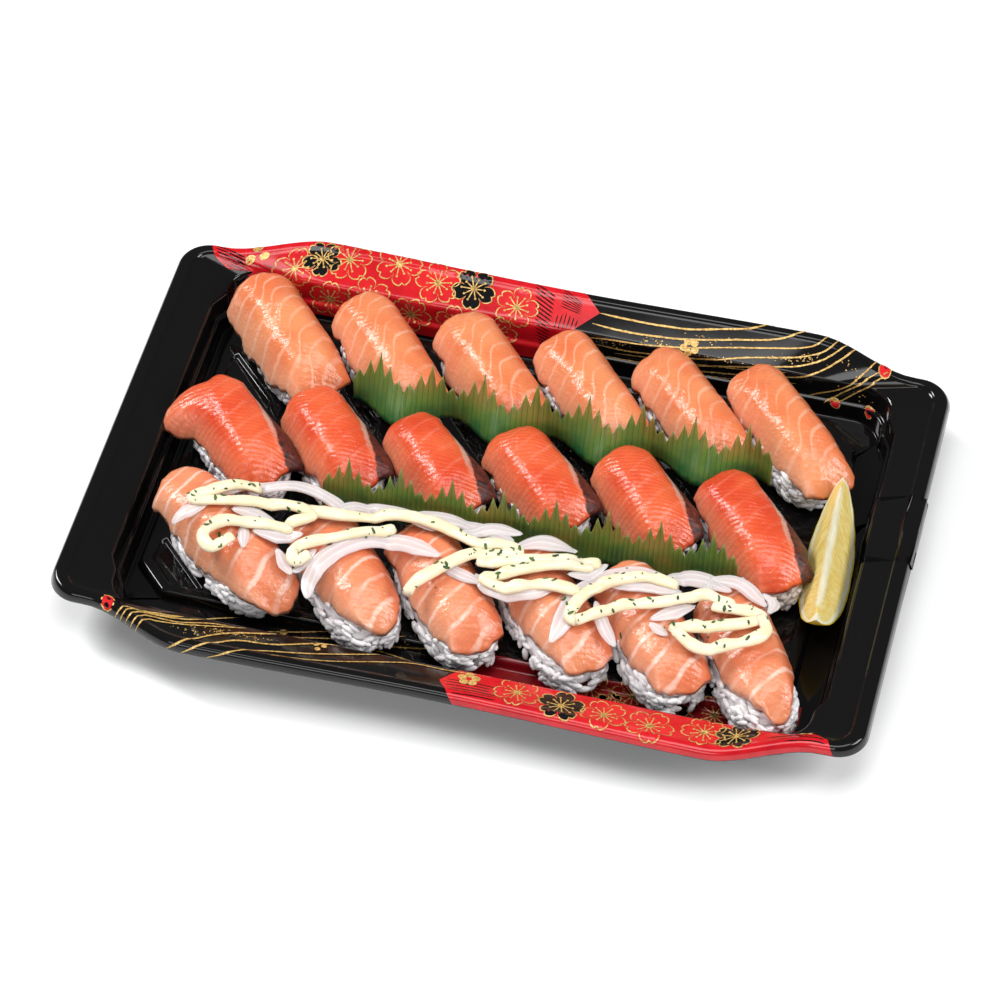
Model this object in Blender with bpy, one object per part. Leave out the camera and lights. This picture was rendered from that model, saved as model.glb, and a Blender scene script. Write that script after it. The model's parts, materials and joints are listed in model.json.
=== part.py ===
"""Takeaway sushi tray: a moulded tray with three rows of salmon nigiri,
two leaf dividers, a lemon wedge, and sliced onion under zigzag dressing."""
import math
import random

import bmesh
import bpy
from mathutils import Matrix, Vector

# Driving dimensions in metres. X runs along the tray, Y away from the diner, Z up.
# The origin is at the bottom centre of the tray.
TRAY_LENGTH = 0.290
STRAIGHT_WIDTH = 0.172
SIDE_BULGE = 0.012
SIDE_DIP = 0.0015
RIM_HEIGHT = 0.022
SHEET = 0.0008
SKIRT_DROP = 0.0034
SKIRT_FLARE = 0.0008
LIP_AT_ENDS = 0.0055
LIP_AT_SIDES = 0.0040
LIP_ROUND = 0.0009
RIM_CORNER = 0.011
LIP_CORNER = 0.008
CORNER_STEPS = 4
SIDE_SHARES = (0.985, 0.92, 0.85, 0.78, 0.70, 0.38, 0.0)
CREASE_HALF = (0.1275, 0.080)
CREASE_DROP = 0.0052
LEDGE_HALF = (0.1267, 0.0790)
LEDGE_HEIGHT = 0.008
LEDGE_WIDTH = 0.0012
LEDGE_STEP = 0.0004
FOOT_HALF = (0.1248, 0.0770)
WELL_CORNER = 0.011
CORNER_JOG = 0.0032
JOG_FROM, JOG_TO = 0.061, 0.067
BULGE_FROM, BULGE_TO = 0.092, 0.130
BULGE_SIDES = (0.07, 0.08)
PLATEAU_X = (-0.121, 0.1135)
PLATEAU_Y = (-0.063, 0.0725)
PLATEAU_CORNER = 0.0115
PLATEAU_TOP = 0.0045
PLATEAU_SLOPE = 0.0012
CELL_PITCH = (0.041, 0.045)
CELL_HALF_WIDTH = 0.0184
CELL_HALF_SIDE = 0.0110
CELL_ORIGIN = (-0.115, 0.0206)
CELL_DEPTH = 0.0011
CELL_BORDER = 0.0036
CELL_MIN_AREA = 0.00008

GAP = 0.0003
FLOOR = PLATEAU_TOP + GAP
RICE_HEIGHT = 0.0175
RICE_HALF = (0.0250, 0.0117)
RICE_TUCK = 0.0014
RICE_POINTS = 18
# Levels of a rice block: share of its plan, and height as a share; the last one follows the slice.
RICE_LEVELS = [(0.93, 0.0), (1.0, 0.28), (0.98, 0.55), (0.82, None)]
GRAIN_BUMP = 0.0007
FULL_SLICE = 0.056
SADDLE_HALF = (0.025, 0.011)
# How far the rice falls at its far end, at its near end and at its sides, as shares of its height.
END_DROP, SIDE_DROP = (0.03, 0.27), 0.30
LEAST_DROP = 0.1
SLICE_THICKNESS = 0.0050
SLICE_EDGE = 0.0020
SLICE_ROUND = 0.45
SLICE_TAPER = 0.05
SLICE_CELLS = (8, 4)

# Each slice: centre x, centre y, turn from -Y towards +X in degrees, length, width,
# and how much its near end narrows to a point.
FAR_ROW = [(-0.0948, 0.0507, 42, 0.058, 0.0296, 0.06), (-0.0567, 0.0510, 41, 0.0565, 0.0268, 0.0),
           (-0.0180, 0.0511, 41, 0.0565, 0.0272, 0.06), (0.0190, 0.0512, 42, 0.0565, 0.0262, 0.0),
           (0.0566, 0.0514, 43, 0.058, 0.0256, 0.1), (0.0917, 0.0512, 43, 0.061, 0.0248, 0.04)]
MID_ROW = [(-0.0990, 0.0012, 43, 0.05, 0.0262, 0.0), (-0.0646, 0.0050, 41, 0.048, 0.0272, 0.08),
           (-0.0268, 0.0030, 42, 0.046, 0.0253, 0.0), (0.0108, 0.0060, 43, 0.046, 0.0272, 0.05),
           (0.0495, 0.0056, 41, 0.048, 0.0274, 0.2), (0.0885, 0.0014, 38, 0.054, 0.0260, 0.15)]
NEAR_ROW = [(-0.0893, -0.0454, 51, 0.067, 0.0272, 0.18), (-0.0446, -0.0498, 41, 0.058, 0.0268, 0.4),
            (-0.0092, -0.0484, 39, 0.0565, 0.0268, 0.08), (0.0292, -0.0488, 41, 0.0555, 0.0264, 0.16),
            (0.0642, -0.0488, 38, 0.056, 0.0266, 0.1), (0.0994, -0.0518, 33, 0.057, 0.0258, 0.55)]
POINT_POWER = 2.2

DIVIDER_THICKNESS = 0.0004
DIVIDER_BASE = 0.0145
DIVIDER_VALLEY = 0.0108
TEETH_PER_HILL = (0.35, 0.68, 1.0, 0.66, 0.33)
TOOTH_NOTCH = 0.45
WAVE_PITCH = 0.037
WAVE_AT_TIPS = 0.2
# Each divider: start, end, hills, tallest tooth, lean of the sheet in degrees, wave of its foot.
FAR_DIVIDER = ((-0.0655, 0.0268), (0.0890, 0.0258), 8, 0.0245, 21, 0.0045)
NEAR_DIVIDER = ((-0.0630, -0.0208), (0.0870, -0.0213), 8, 0.0242, 14, 0.0004)

LEMON_LENGTH = 0.066
LEMON_RADIUS = 0.0205
LEMON_SECTOR = 50
LEMON_BELLY, LEMON_POINT = 2.3, 0.62
LEMON_TIP = 0.985
LEMON_STATIONS, LEMON_ARC = 10, 5
LEMON_PLACE = (0.1162, -0.002, 3)

ONION_THICKNESS = 0.0010
ONION_WIDTH = 0.0050
ONION_STEP = 0.0110
DRESSING_WIDTH = 0.0046
DRESSING_HEIGHT = 0.0030
DRESSING_STEP = 0.0078
BLUNT_END = 0.55
# How the topping sags along and across a slice, the least share of its height, and how far it lies level.
DRAPE_END_DROP = (0.03, 0.25)
DRAPE_SIDE_DROP = 0.17
DRAPE_LEAST = (0.35, 0.85)
DRAPE_REACH = (0.004, 0.006)
DRAPE_LIFT = 0.0010
# Strips and strokes lie at slightly different heights, so that no two faces meet flat.
ONION_LIFT = 0.00004
DRESSING_LIFT = (0.0003, 0.00005)
FLAKE_SIZE = 0.0016
FLAKE_DEPTH = 0.0012
FLAKE_SPACING = 0.0045
FLAKE_TILT = 0.3
FLAKES = 12
SEED = 7

# Plan points in millimetres of the onion strips and of the strokes of dressing.
ONION_STRIPS = [
    [(-97, -35), (-87, -27), (-71, -23), (-59, -26), (-49, -32)], [(-109, -50), (-106, -46), (-98, -39)],
    [(-90, -40), (-83, -40), (-73, -41)], [(-80, -48), (-71, -47), (-62, -45)], [(-84, -44), (-81, -56)],
    [(-70, -52), (-62, -61)], [(-56, -50), (-62, -60)],
    [(-54, -70), (-55, -62), (-51, -52), (-42, -43), (-28, -40), (-13, -43)],
    [(-57, -33), (-47, -27), (-37, -26), (-28, -27), (-18, -32)],
    [(-31, -28), (-18, -26), (-4, -26), (10, -30)], [(-10, -31), (1, -26), (12, -26)],
    [(10, -32), (20, -27), (32, -27)], [(-14, -45), (-6, -48), (4, -51)],
    [(0, -47), (7, -52), (20, -51), (29, -46)], [(31, -40), (37, -38), (44, -32)],
    [(32, -69), (34, -61), (36, -49), (43, -39), (52, -34), (66, -32)], [(43, -48), (48, -57), (54, -64)],
    [(46, -41), (58, -38), (72, -38)], [(56, -31), (57, -36)], [(63, -36), (70, -30), (78, -30), (88, -33)],
    [(80, -28), (79, -37)], [(79, -29), (90, -29), (101, -37)], [(63, -53), (71, -57)],
    [(63, -52), (71, -46), (77, -41)], [(98, -31), (103, -34), (102, -40)]]
DRESSING_STROKES = [
    [(-82, -27), (-93, -31), (-104, -40), (-88, -37), (-72, -34), (-61, -37), (-70, -43)],
    [(-66, -43), (-78, -45), (-90, -47), (-96, -54), (-91, -59), (-85, -52)],
    [(-68, -34), (-61, -35), (-47, -34), (-33, -29), (-19, -30), (-4, -34), (6, -33), (13, -35), (6, -38)],
    [(-31, -35), (-46, -42), (-57, -48), (-64, -52), (-62, -56), (-57, -53)],
    [(9, -37), (-3, -40), (-14, -51), (-20, -58), (-20, -61)],
    [(-1, -43), (17, -38), (33, -34), (42, -33)],
    [(40, -34), (23, -39), (4, -49), (12, -51), (25, -47), (38, -47)],
    [(70, -36), (55, -36), (41, -45), (36, -57), (40, -60)],
    [(38, -60), (50, -51), (67, -44), (79, -38), (91, -41)],
    [(82, -42), (100, -42), (95, -47), (80, -52), (70, -55)],
    [(72, -55), (82, -60), (98, -54), (103, -48), (99, -42)]]

COLOURS = {
    "tray": ((0.006, 0.006, 0.007), 0.12), "rice": ((0.80, 0.78, 0.79), 0.45),
    "salmon": ((0.85, 0.36, 0.16), 0.25), "seared_salmon": ((0.80, 0.14, 0.04), 0.28),
    "leaf": ((0.05, 0.19, 0.04), 0.35), "lemon": ((0.83, 0.65, 0.20), 0.35),
    "onion_and_dressing": ((0.90, 0.80, 0.60), 0.30)}


def clear_scene():
    for item in list(bpy.data.objects):
        bpy.data.objects.remove(item, do_unlink=True)


def material(name):
    colour, roughness = COLOURS[name]
    finish = bpy.data.materials.get(name) or bpy.data.materials.new(name)
    finish.use_nodes = True
    shader = finish.node_tree.nodes["Principled BSDF"]
    shader.inputs["Base Color"].default_value = (*colour, 1.0)
    shader.inputs["Roughness"].default_value = roughness
    shader.inputs["Metallic"].default_value = 0.0
    return finish


def finish_object(name, mesh_build, finish, smooth=True):
    bmesh.ops.recalc_face_normals(mesh_build, faces=mesh_build.faces)
    mesh = bpy.data.meshes.new(name)
    mesh_build.to_mesh(mesh)
    mesh_build.free()
    if smooth:
        mesh.shade_smooth()
        mesh.set_sharp_from_angle(angle=math.radians(40))
    mesh.materials.append(material(finish))
    item = bpy.data.objects.new(name, mesh)
    bpy.context.collection.objects.link(item)
    return item


def smoothstep(low, high, value):
    t = min(max((value - low) / (high - low), 0.0), 1.0)
    return t * t * (3.0 - 2.0 * t)


# The tray: one sheet that follows rings from the skirt down to the raised floor.

def side_bulge(x):
    """How far the long side stands out at x, as a share of the full bulge."""
    out = 1.0 - smoothstep(BULGE_FROM, BULGE_TO, abs(x))
    middle = 1.0 - smoothstep(0.0, BULGE_FROM, abs(x))
    return out * SIDE_BULGE - middle * SIDE_DIP


def quadrant(half, corner, bulged, jog):
    """Points of a ring from the middle of the +X end to the middle of the +Y side."""
    half_x, half_y = half
    ends = [0.0, JOG_FROM, JOG_TO]
    points = [(half_x - (jog if y >= JOG_TO else 0.0), y) for y in ends]
    centre = Vector((half_x - jog - corner, half_y - corner))
    for step in range(CORNER_STEPS + 1):
        angle = math.radians(90.0 * step / CORNER_STEPS)
        points.append((centre.x + corner * math.cos(angle), centre.y + corner * math.sin(angle)))
    for share in SIDE_SHARES:
        points.append((share * centre.x, half_y))
    if bulged:
        points = [(x, y + side_bulge(x) * smoothstep(*BULGE_SIDES, y)) for x, y in points]
    return points


def ring(half, corner, height, bulged=False, jog=0.0):
    first = quadrant(half, corner, bulged, jog)
    upper = first + [(-x, y) for x, y in reversed(first[:-1])]
    outline = upper + [(x, -y) for x, y in reversed(upper[1:-1])]
    return [Vector((x, y, height)) for x, y in outline]


def tray_rings():
    end, side = TRAY_LENGTH / 2, STRAIGHT_WIDTH / 2
    lip_end, lip_side = end - LIP_AT_ENDS, side - LIP_AT_SIDES
    skirt = SKIRT_FLARE + LIP_ROUND
    return [
        ring((end, side), RIM_CORNER, RIM_HEIGHT - SKIRT_DROP, True),
        ring((end - SKIRT_FLARE, side - SKIRT_FLARE), RIM_CORNER, RIM_HEIGHT - LIP_ROUND, True),
        ring((end - skirt, side - skirt), RIM_CORNER - LIP_ROUND, RIM_HEIGHT, True),
        ring((lip_end, lip_side), LIP_CORNER, RIM_HEIGHT, True),
        ring((lip_end - LIP_ROUND, lip_side - LIP_ROUND), LIP_CORNER - LIP_ROUND,
             RIM_HEIGHT - LIP_ROUND, True),
        ring(CREASE_HALF, WELL_CORNER, RIM_HEIGHT - CREASE_DROP, False, CORNER_JOG),
        ring(LEDGE_HALF, WELL_CORNER, LEDGE_HEIGHT, False, CORNER_JOG),
        ring((LEDGE_HALF[0] - LEDGE_WIDTH, LEDGE_HALF[1] - LEDGE_WIDTH), WELL_CORNER,
             LEDGE_HEIGHT - LEDGE_STEP, False, CORNER_JOG),
        ring(FOOT_HALF, WELL_CORNER, SHEET, False, CORNER_JOG)]


def plateau_outline(inset):
    """The raised floor: a rectangle with its corners cut off, going round from +X."""
    low_x, high_x = PLATEAU_X[0] + inset, PLATEAU_X[1] - inset
    low_y, high_y = PLATEAU_Y[0] + inset, PLATEAU_Y[1] - inset
    cut = PLATEAU_CORNER - inset * (2.0 - math.sqrt(2.0))
    return [(high_x, low_y + cut), (high_x, high_y - cut), (high_x - cut, high_y), (low_x + cut, high_y),
            (low_x, high_y - cut), (low_x, low_y + cut), (low_x + cut, low_y), (high_x - cut, low_y)]


def clip(polygon, window):
    """Keep the part of a convex polygon that lies inside a convex window."""
    for start, end in zip(window, window[1:] + window[:1]):
        kept = []
        side = [(end[0] - start[0]) * (p[1] - start[1]) - (end[1] - start[1]) * (p[0] - start[0])
                for p in polygon]
        for i, point in enumerate(polygon):
            before, here, last = side[i - 1], side[i], polygon[i - 1]
            if (before < 0) != (here < 0):
                t = before / (before - here)
                kept.append((last[0] + t * (point[0] - last[0]), last[1] + t * (point[1] - last[1])))
            if here >= 0:
                kept.append(point)
        polygon = kept
        if len(polygon) < 3:
            return []
    return polygon


def area(polygon):
    return 0.5 * sum(a[0] * b[1] - b[0] * a[1] for a, b in zip(polygon, polygon[1:] + polygon[:1]))


def hexagon(centre_x, centre_y):
    corners = [(CELL_HALF_WIDTH, -CELL_HALF_SIDE), (CELL_HALF_WIDTH, CELL_HALF_SIDE),
               (0.0, CELL_HALF_SIDE + CELL_HALF_WIDTH), (-CELL_HALF_WIDTH, CELL_HALF_SIDE),
               (-CELL_HALF_WIDTH, -CELL_HALF_SIDE), (0.0, -CELL_HALF_SIDE - CELL_HALF_WIDTH)]
    return [(centre_x + x, centre_y + y) for x, y in corners]


def shrink(polygon, amount):
    """Move each corner of a convex polygon inwards, so that its sides move by the amount."""
    moved = []
    for last, here, following in zip(polygon[-1:] + polygon[:-1], polygon, polygon[1:] + polygon[:1]):
        before = (Vector(here) - Vector(last)).normalized()
        after = (Vector(following) - Vector(here)).normalized()
        inwards = Vector((-before.y - after.y, before.x + after.x)).normalized()
        reach = amount / max(inwards.dot(Vector((-before.y, before.x))), 0.3)
        moved.append(tuple(Vector(here) + inwards * reach))
    return moved


def floor_cells():
    """Tortoiseshell cells of the raised floor, cut off at its border."""
    window = plateau_outline(CELL_BORDER)
    cells = []
    for row in range(-2, 2):
        shift = CELL_PITCH[0] / 2 if row % 2 else 0.0
        for column in range(7):
            centre = (CELL_ORIGIN[0] + shift + column * CELL_PITCH[0], CELL_ORIGIN[1] + row * CELL_PITCH[1])
            cell = clip(hexagon(*centre), window)
            if len(cell) > 2 and area(cell) > CELL_MIN_AREA:
                cells.append(cell)
    return cells


def loop_of(shape, points, height):
    return [shape.verts.new((x, y, height)) for x, y in points]


def bridge(shape, outer, inner):
    pairs = list(zip(outer, inner))
    for (a, b), (c, d) in zip(pairs, pairs[1:] + pairs[:1]):
        shape.faces.new((a, c, d, b))


def fill_between(shape, loops):
    """Fill the flat area between an outer loop and the loops inside it."""
    edges = []
    for loop in loops:
        for a, b in zip(loop, loop[1:] + loop[:1]):
            edges.append(shape.edges.get((a, b)) or shape.edges.new((a, b)))
    bmesh.ops.triangle_fill(shape, use_beauty=True, edges=edges, normal=(0, 0, 1))


def build_tray():
    shape = bmesh.new()
    loops = [[shape.verts.new(point) for point in points] for points in tray_rings()]
    for outer, inner in zip(loops, loops[1:]):
        bridge(shape, outer, inner)
    foot = loop_of(shape, plateau_outline(-PLATEAU_SLOPE), SHEET)
    top = loop_of(shape, plateau_outline(0.0), PLATEAU_TOP)
    fill_between(shape, [loops[-1], foot])
    bridge(shape, foot, top)
    rims = []
    for cell in floor_cells():
        rim = loop_of(shape, cell, PLATEAU_TOP)
        base = loop_of(shape, shrink(cell, CELL_DEPTH), PLATEAU_TOP - CELL_DEPTH)
        bridge(shape, rim, base)
        shape.faces.new(base)
        rims.append(rim)
    fill_between(shape, [top] + rims)
    for face in shape.faces:
        face.normal_update()
        if face.normal.z < -0.01:
            face.normal_flip()
    tray = finish_object("tray", shape, "tray")
    thicken = tray.modifiers.new("sheet", "SOLIDIFY")
    thicken.thickness = SHEET
    thicken.offset = -1.0
    return tray


# The nigiri: a block of rice and a slice that sags over its ends and sides.

def saddle(u, v):
    """Height of the rice's top under the slice, u along and v across."""
    along = 1.0 - END_DROP[u > 0] * abs(u / SADDLE_HALF[0]) ** 3
    across = 1.0 - SIDE_DROP * abs(v / SADDLE_HALF[1]) ** 3
    return RICE_HEIGHT * max(along, LEAST_DROP) * max(across, LEAST_DROP)


def placed(place, u, v, height):
    x, y, turn = place[:3]
    angle = math.radians(turn)
    return Vector((x + u * math.sin(angle) + v * math.cos(angle),
                   y - u * math.cos(angle) + v * math.sin(angle), height))


def round_ring(half_u, half_v, count, power=3.0):
    points = []
    for step in range(count):
        angle = math.tau * (step + 0.5) / count
        c, s = math.cos(angle), math.sin(angle)
        points.append((half_u * math.copysign(abs(c) ** (2 / power), c),
                       half_v * math.copysign(abs(s) ** (2 / power), s)))
    return points


def build_rice(name, place, rng):
    """A pressed block of rice, with bumps of a grain's size round its sides."""
    shape = bmesh.new()
    shorter = min(1.0, place[3] / FULL_SLICE)
    loops = []
    for share, height in RICE_LEVELS:
        loop = []
        for u, v in round_ring(RICE_HALF[0] * shorter, RICE_HALF[1], RICE_POINTS):
            bump = 1.0 + (GRAIN_BUMP / RICE_HALF[1]) * rng.uniform(-1.0, 1.0) * (height is not None)
            u, v = u * share * bump, v * share * bump
            top = saddle(u, v) - RICE_TUCK
            rise = top if height is None else min(height * RICE_HEIGHT, top - RICE_TUCK)
            loop.append(shape.verts.new(placed(place, u, v, FLOOR + rise)))
        loops.append(loop)
    for lower, upper in zip(loops, loops[1:]):
        bridge(shape, lower, upper)
    shape.faces.new(loops[0])
    crown = shape.verts.new(placed(place, 0.0, 0.0, FLOOR + RICE_HEIGHT - RICE_TUCK))
    for a, b in zip(loops[-1], loops[-1][1:] + loops[-1][:1]):
        shape.faces.new((a, b, crown))
    return finish_object(name, shape, "rice")


def slice_plan(place, s, t):
    """Local place of a slice's grid point, s and t from -1 to 1, on a rounded outline."""
    length, width, pointed = place[3:]
    u = 0.5 * length * s * math.sqrt(1.0 - 0.5 * SLICE_ROUND * t * t)
    narrow = 1.0 - SLICE_TAPER * s - pointed * max(s, 0.0) ** POINT_POWER
    v = 0.5 * width * t * math.sqrt(1.0 - 0.5 * SLICE_ROUND * s * s) * narrow
    return u, v


def slice_thickness(s, t):
    edge = max(abs(s), abs(t)) ** 4
    return SLICE_THICKNESS + (SLICE_EDGE - SLICE_THICKNESS) * edge


def build_slice(name, place, finish):
    """A slice of fish: a grid that rests on the rice and hangs over its edges."""
    shape = bmesh.new()
    columns, rows = SLICE_CELLS
    layers = []
    for layer in range(2):
        grid = []
        for i in range(columns + 1):
            s = 2.0 * i / columns - 1.0
            line = []
            for j in range(rows + 1):
                t = 2.0 * j / rows - 1.0
                u, v = slice_plan(place, s, t)
                height = FLOOR + saddle(u, v) + GAP + layer * slice_thickness(s, t)
                line.append(shape.verts.new(placed(place, u, v, height)))
            grid.append(line)
        layers.append(grid)
    for grid in layers:
        for first, second in zip(grid, grid[1:]):
            for a, b, c, d in zip(first, first[1:], second[1:], second):
                shape.faces.new((a, b, c))
                shape.faces.new((a, c, d))
    borders = []
    for grid in layers:
        end = [line[-1] for line in grid[1:]]
        back = [line[0] for line in reversed(grid[1:-1])]
        borders.append(grid[0] + end + list(reversed(grid[-1][:-1])) + back)
    bridge(shape, borders[0], borders[1])
    return finish_object(name, shape, finish)


# The dividers: thin leaves with hills of pointed teeth, leaning on the row behind.

def tooth_line(hills, tallest):
    """Shares along the divider and heights of its valleys and points."""
    line = []
    teeth = len(TEETH_PER_HILL)
    for hill in range(hills):
        for tooth, share in enumerate(TEETH_PER_HILL):
            start = (hill + tooth / teeth) / hills
            last = TEETH_PER_HILL[tooth - 1] if tooth else 0.0
            notch = DIVIDER_VALLEY + (tallest - DIVIDER_VALLEY) * TOOTH_NOTCH * min(last, share)
            line.append((start, notch))
            line.append((start + 0.5 / (teeth * hills), DIVIDER_VALLEY + (tallest - DIVIDER_VALLEY) * share))
    line.append((1.0, DIVIDER_VALLEY))
    return line


def build_divider(name, design):
    (x0, y0), (x1, y1), hills, tallest, lean, swing = design
    along = Vector((x1 - x0, y1 - y0, 0.0))
    away = Vector((-along.y, along.x, 0.0)).normalized()
    up = Vector((0, 0, 1)) * math.cos(math.radians(lean)) + away * math.sin(math.radians(lean))
    normal = along.normalized().cross(up)
    shape = bmesh.new()
    faces = []
    for side in (-0.5, 0.5):
        base, tips = [], []
        for share, height in tooth_line(hills, tallest):
            wave = away * swing * math.cos(math.tau * share * along.length / WAVE_PITCH)
            foot = Vector((x0, y0, DIVIDER_BASE)) + along * share + normal * DIVIDER_THICKNESS * side
            base.append(shape.verts.new(foot + wave))
            tips.append(shape.verts.new(foot + wave * WAVE_AT_TIPS + up * height))
        faces.append((base, tips))
        for a, b, c, d in zip(base, base[1:], tips[1:], tips):
            shape.faces.new((a, b, c))
            shape.faces.new((a, c, d))
    (base_a, tips_a), (base_b, tips_b) = faces
    bridge(shape, base_a + list(reversed(tips_a)), base_b + list(reversed(tips_b)))
    return finish_object(name, shape, "leaf", smooth=False)


def build_lemon():
    """A wedge cut along the lemon: two flat cut faces and an arc of rind, with blunt tips."""
    shape = bmesh.new()
    ridge = FLOOR + LEMON_RADIUS + GAP
    rings = []
    for i in range(LEMON_STATIONS + 1):
        s = LEMON_TIP * (2.0 * i / LEMON_STATIONS - 1.0)
        radius = LEMON_RADIUS * (1.0 - abs(s) ** LEMON_BELLY) ** LEMON_POINT
        points = [(0.0, 0.0)]
        for j in range(LEMON_ARC + 1):
            angle = math.radians(LEMON_SECTOR) * (j / LEMON_ARC - 0.5)
            points.append((radius * math.sin(angle), -radius * math.cos(angle)))
        rings.append([shape.verts.new(placed(LEMON_PLACE, 0.5 * LEMON_LENGTH * s, v, ridge + w))
                      for v, w in points])
    for first, second in zip(rings, rings[1:]):
        bridge(shape, first, second)
    shape.faces.new(rings[0])
    shape.faces.new(rings[-1])
    return finish_object("lemon", shape, "lemon")


# The topping: onion strips and a zigzag of dressing, draped over the near row and fused.

def drape(x, y):
    """Height of a cloth laid over the near row, which spans the gaps between its slices."""
    best = 0.0
    for place in NEAR_ROW:
        angle = math.radians(place[2])
        dx, dy = x - place[0], y - place[1]
        along = dx * math.sin(angle) - dy * math.cos(angle)
        u = max(abs(along) - DRAPE_REACH[0], 0.0)
        v = max(abs(dx * math.cos(angle) + dy * math.sin(angle)) - DRAPE_REACH[1], 0.0)
        fall = max(1.0 - DRAPE_END_DROP[along > 0] * (u / SADDLE_HALF[0]) ** 3, DRAPE_LEAST[0])
        across = max(1.0 - DRAPE_SIDE_DROP * (v / SADDLE_HALF[1]) ** 3, DRAPE_LEAST[1])
        best = max(best, (RICE_HEIGHT + SLICE_THICKNESS) * fall * across)
    return FLOOR + DRAPE_LIFT + best


def smooth_path(points, step):
    """Points about a step apart on a Catmull-Rom curve through the plan points."""
    ends = [2 * points[0] - points[1]] + points + [2 * points[-1] - points[-2]]
    path = []
    for a, b, c, d in zip(ends, ends[1:], ends[2:], ends[3:]):
        count = max(1, round((c - b).length / step))
        for i in range(count):
            t = i / count
            path.append(0.5 * (2 * b + (c - a) * t + (2 * a - 5 * b + 4 * c - d) * t ** 2
                               + (3 * b - a - 3 * c + d) * t ** 3))
    return path + [points[-1]]


def swept(name, plan, width, height, lift, section, step):
    """Sweep a section along a draped path, tapering to blunt ends."""
    path = smooth_path([Vector(p) / 1000 for p in plan], step)
    shape = bmesh.new()
    loops = []
    for i, point in enumerate(path):
        tangent = (path[min(i + 1, len(path) - 1)] - path[max(i - 1, 0)]).normalized()
        across = Vector((-tangent.y, tangent.x, 0.0))
        blunt = BLUNT_END if i in (0, len(path) - 1) else 1.0
        centre = Vector((point.x, point.y, drape(point.x, point.y) + lift))
        loops.append([shape.verts.new(centre + across * (a * width * blunt) + Vector((0, 0, b * height)))
                      for a, b in section])
    for first, second in zip(loops, loops[1:]):
        bridge(shape, first, second)
    shape.faces.new(loops[0])
    shape.faces.new(loops[-1])
    bmesh.ops.triangulate(shape, faces=shape.faces)
    return finish_object(name, shape, "onion_and_dressing")


def build_flake(name, x, y, rng):
    shape = bmesh.new()
    bmesh.ops.create_cone(shape, cap_ends=True, segments=4, radius1=FLAKE_SIZE / 2, radius2=FLAKE_SIZE / 2,
                          depth=FLAKE_DEPTH)
    lift = drape(x, y) + DRESSING_HEIGHT
    tilt = rng.uniform(-FLAKE_TILT, FLAKE_TILT)
    turn = Matrix.Rotation(rng.uniform(0, math.tau), 4, "Z") @ Matrix.Rotation(tilt, 4, "X")
    bmesh.ops.transform(shape, matrix=Matrix.Translation((x, y, lift)) @ turn, verts=shape.verts)
    return finish_object(name, shape, "onion_and_dressing")


def build_topping(rng):
    flat = [(-0.5, 0.0), (0.5, 0.0), (0.5, 1.0), (-0.5, 1.0)]
    mound = [(-0.5, 0.0), (0.5, 0.0), (0.44, 0.6), (0.0, 1.0), (-0.44, 0.6)]
    pieces = []
    for number, plan in enumerate(ONION_STRIPS):
        lift = ONION_LIFT * (7 * number % len(ONION_STRIPS))
        pieces.append(swept(f"onion_{number}", plan, ONION_WIDTH, ONION_THICKNESS, lift, flat, ONION_STEP))
    for number, plan in enumerate(DRESSING_STROKES):
        lift = DRESSING_LIFT[0] + DRESSING_LIFT[1] * number
        pieces.append(swept(f"dressing_{number}", plan, DRESSING_WIDTH, DRESSING_HEIGHT, lift, mound,
                            DRESSING_STEP))
    for number in range(FLAKES):
        stroke = DRESSING_STROKES[number % len(DRESSING_STROKES)]
        point = rng.choice(smooth_path([Vector(p) / 1000 for p in stroke], FLAKE_SPACING)[1:-1])
        pieces.append(build_flake(f"flake_{number}", point.x, point.y, rng))
    topping = pieces.pop()
    topping.name = "onion_and_dressing"
    group = bpy.data.collections.new("topping pieces")
    for piece in pieces:
        bpy.context.collection.objects.unlink(piece)
        group.objects.link(piece)
    join = topping.modifiers.new("fuse", "BOOLEAN")
    join.operation = "UNION"
    join.operand_type = "COLLECTION"
    join.collection = group
    join.solver = "MANIFOLD"
    fused = bpy.data.meshes.new_from_object(topping.evaluated_get(bpy.context.evaluated_depsgraph_get()))
    topping.modifiers.clear()
    topping.data = fused
    for piece in pieces:
        bpy.data.objects.remove(piece, do_unlink=True)
    bpy.data.collections.remove(group)
    return topping


def main():
    clear_scene()
    rng = random.Random(SEED)
    build_tray()
    for row, places, finish in (("far", FAR_ROW, "salmon"), ("mid", MID_ROW, "seared_salmon"),
                                ("near", NEAR_ROW, "salmon")):
        for number, place in enumerate(places, 1):
            build_rice(f"rice_{row}_{number}", place, rng)
            build_slice(f"fish_{row}_{number}", place, finish)
    build_divider("leaf_far", FAR_DIVIDER)
    build_divider("leaf_near", NEAR_DIVIDER)
    build_lemon()
    build_topping(rng)


main()
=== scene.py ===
"""Takeaway sushi tray with three rows of salmon nigiri: its finished look."""
import json
import math
import random

import bmesh
import bpy
import numpy as np
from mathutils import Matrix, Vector, noise
from mathutils.bvhtree import BVHTree

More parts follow.
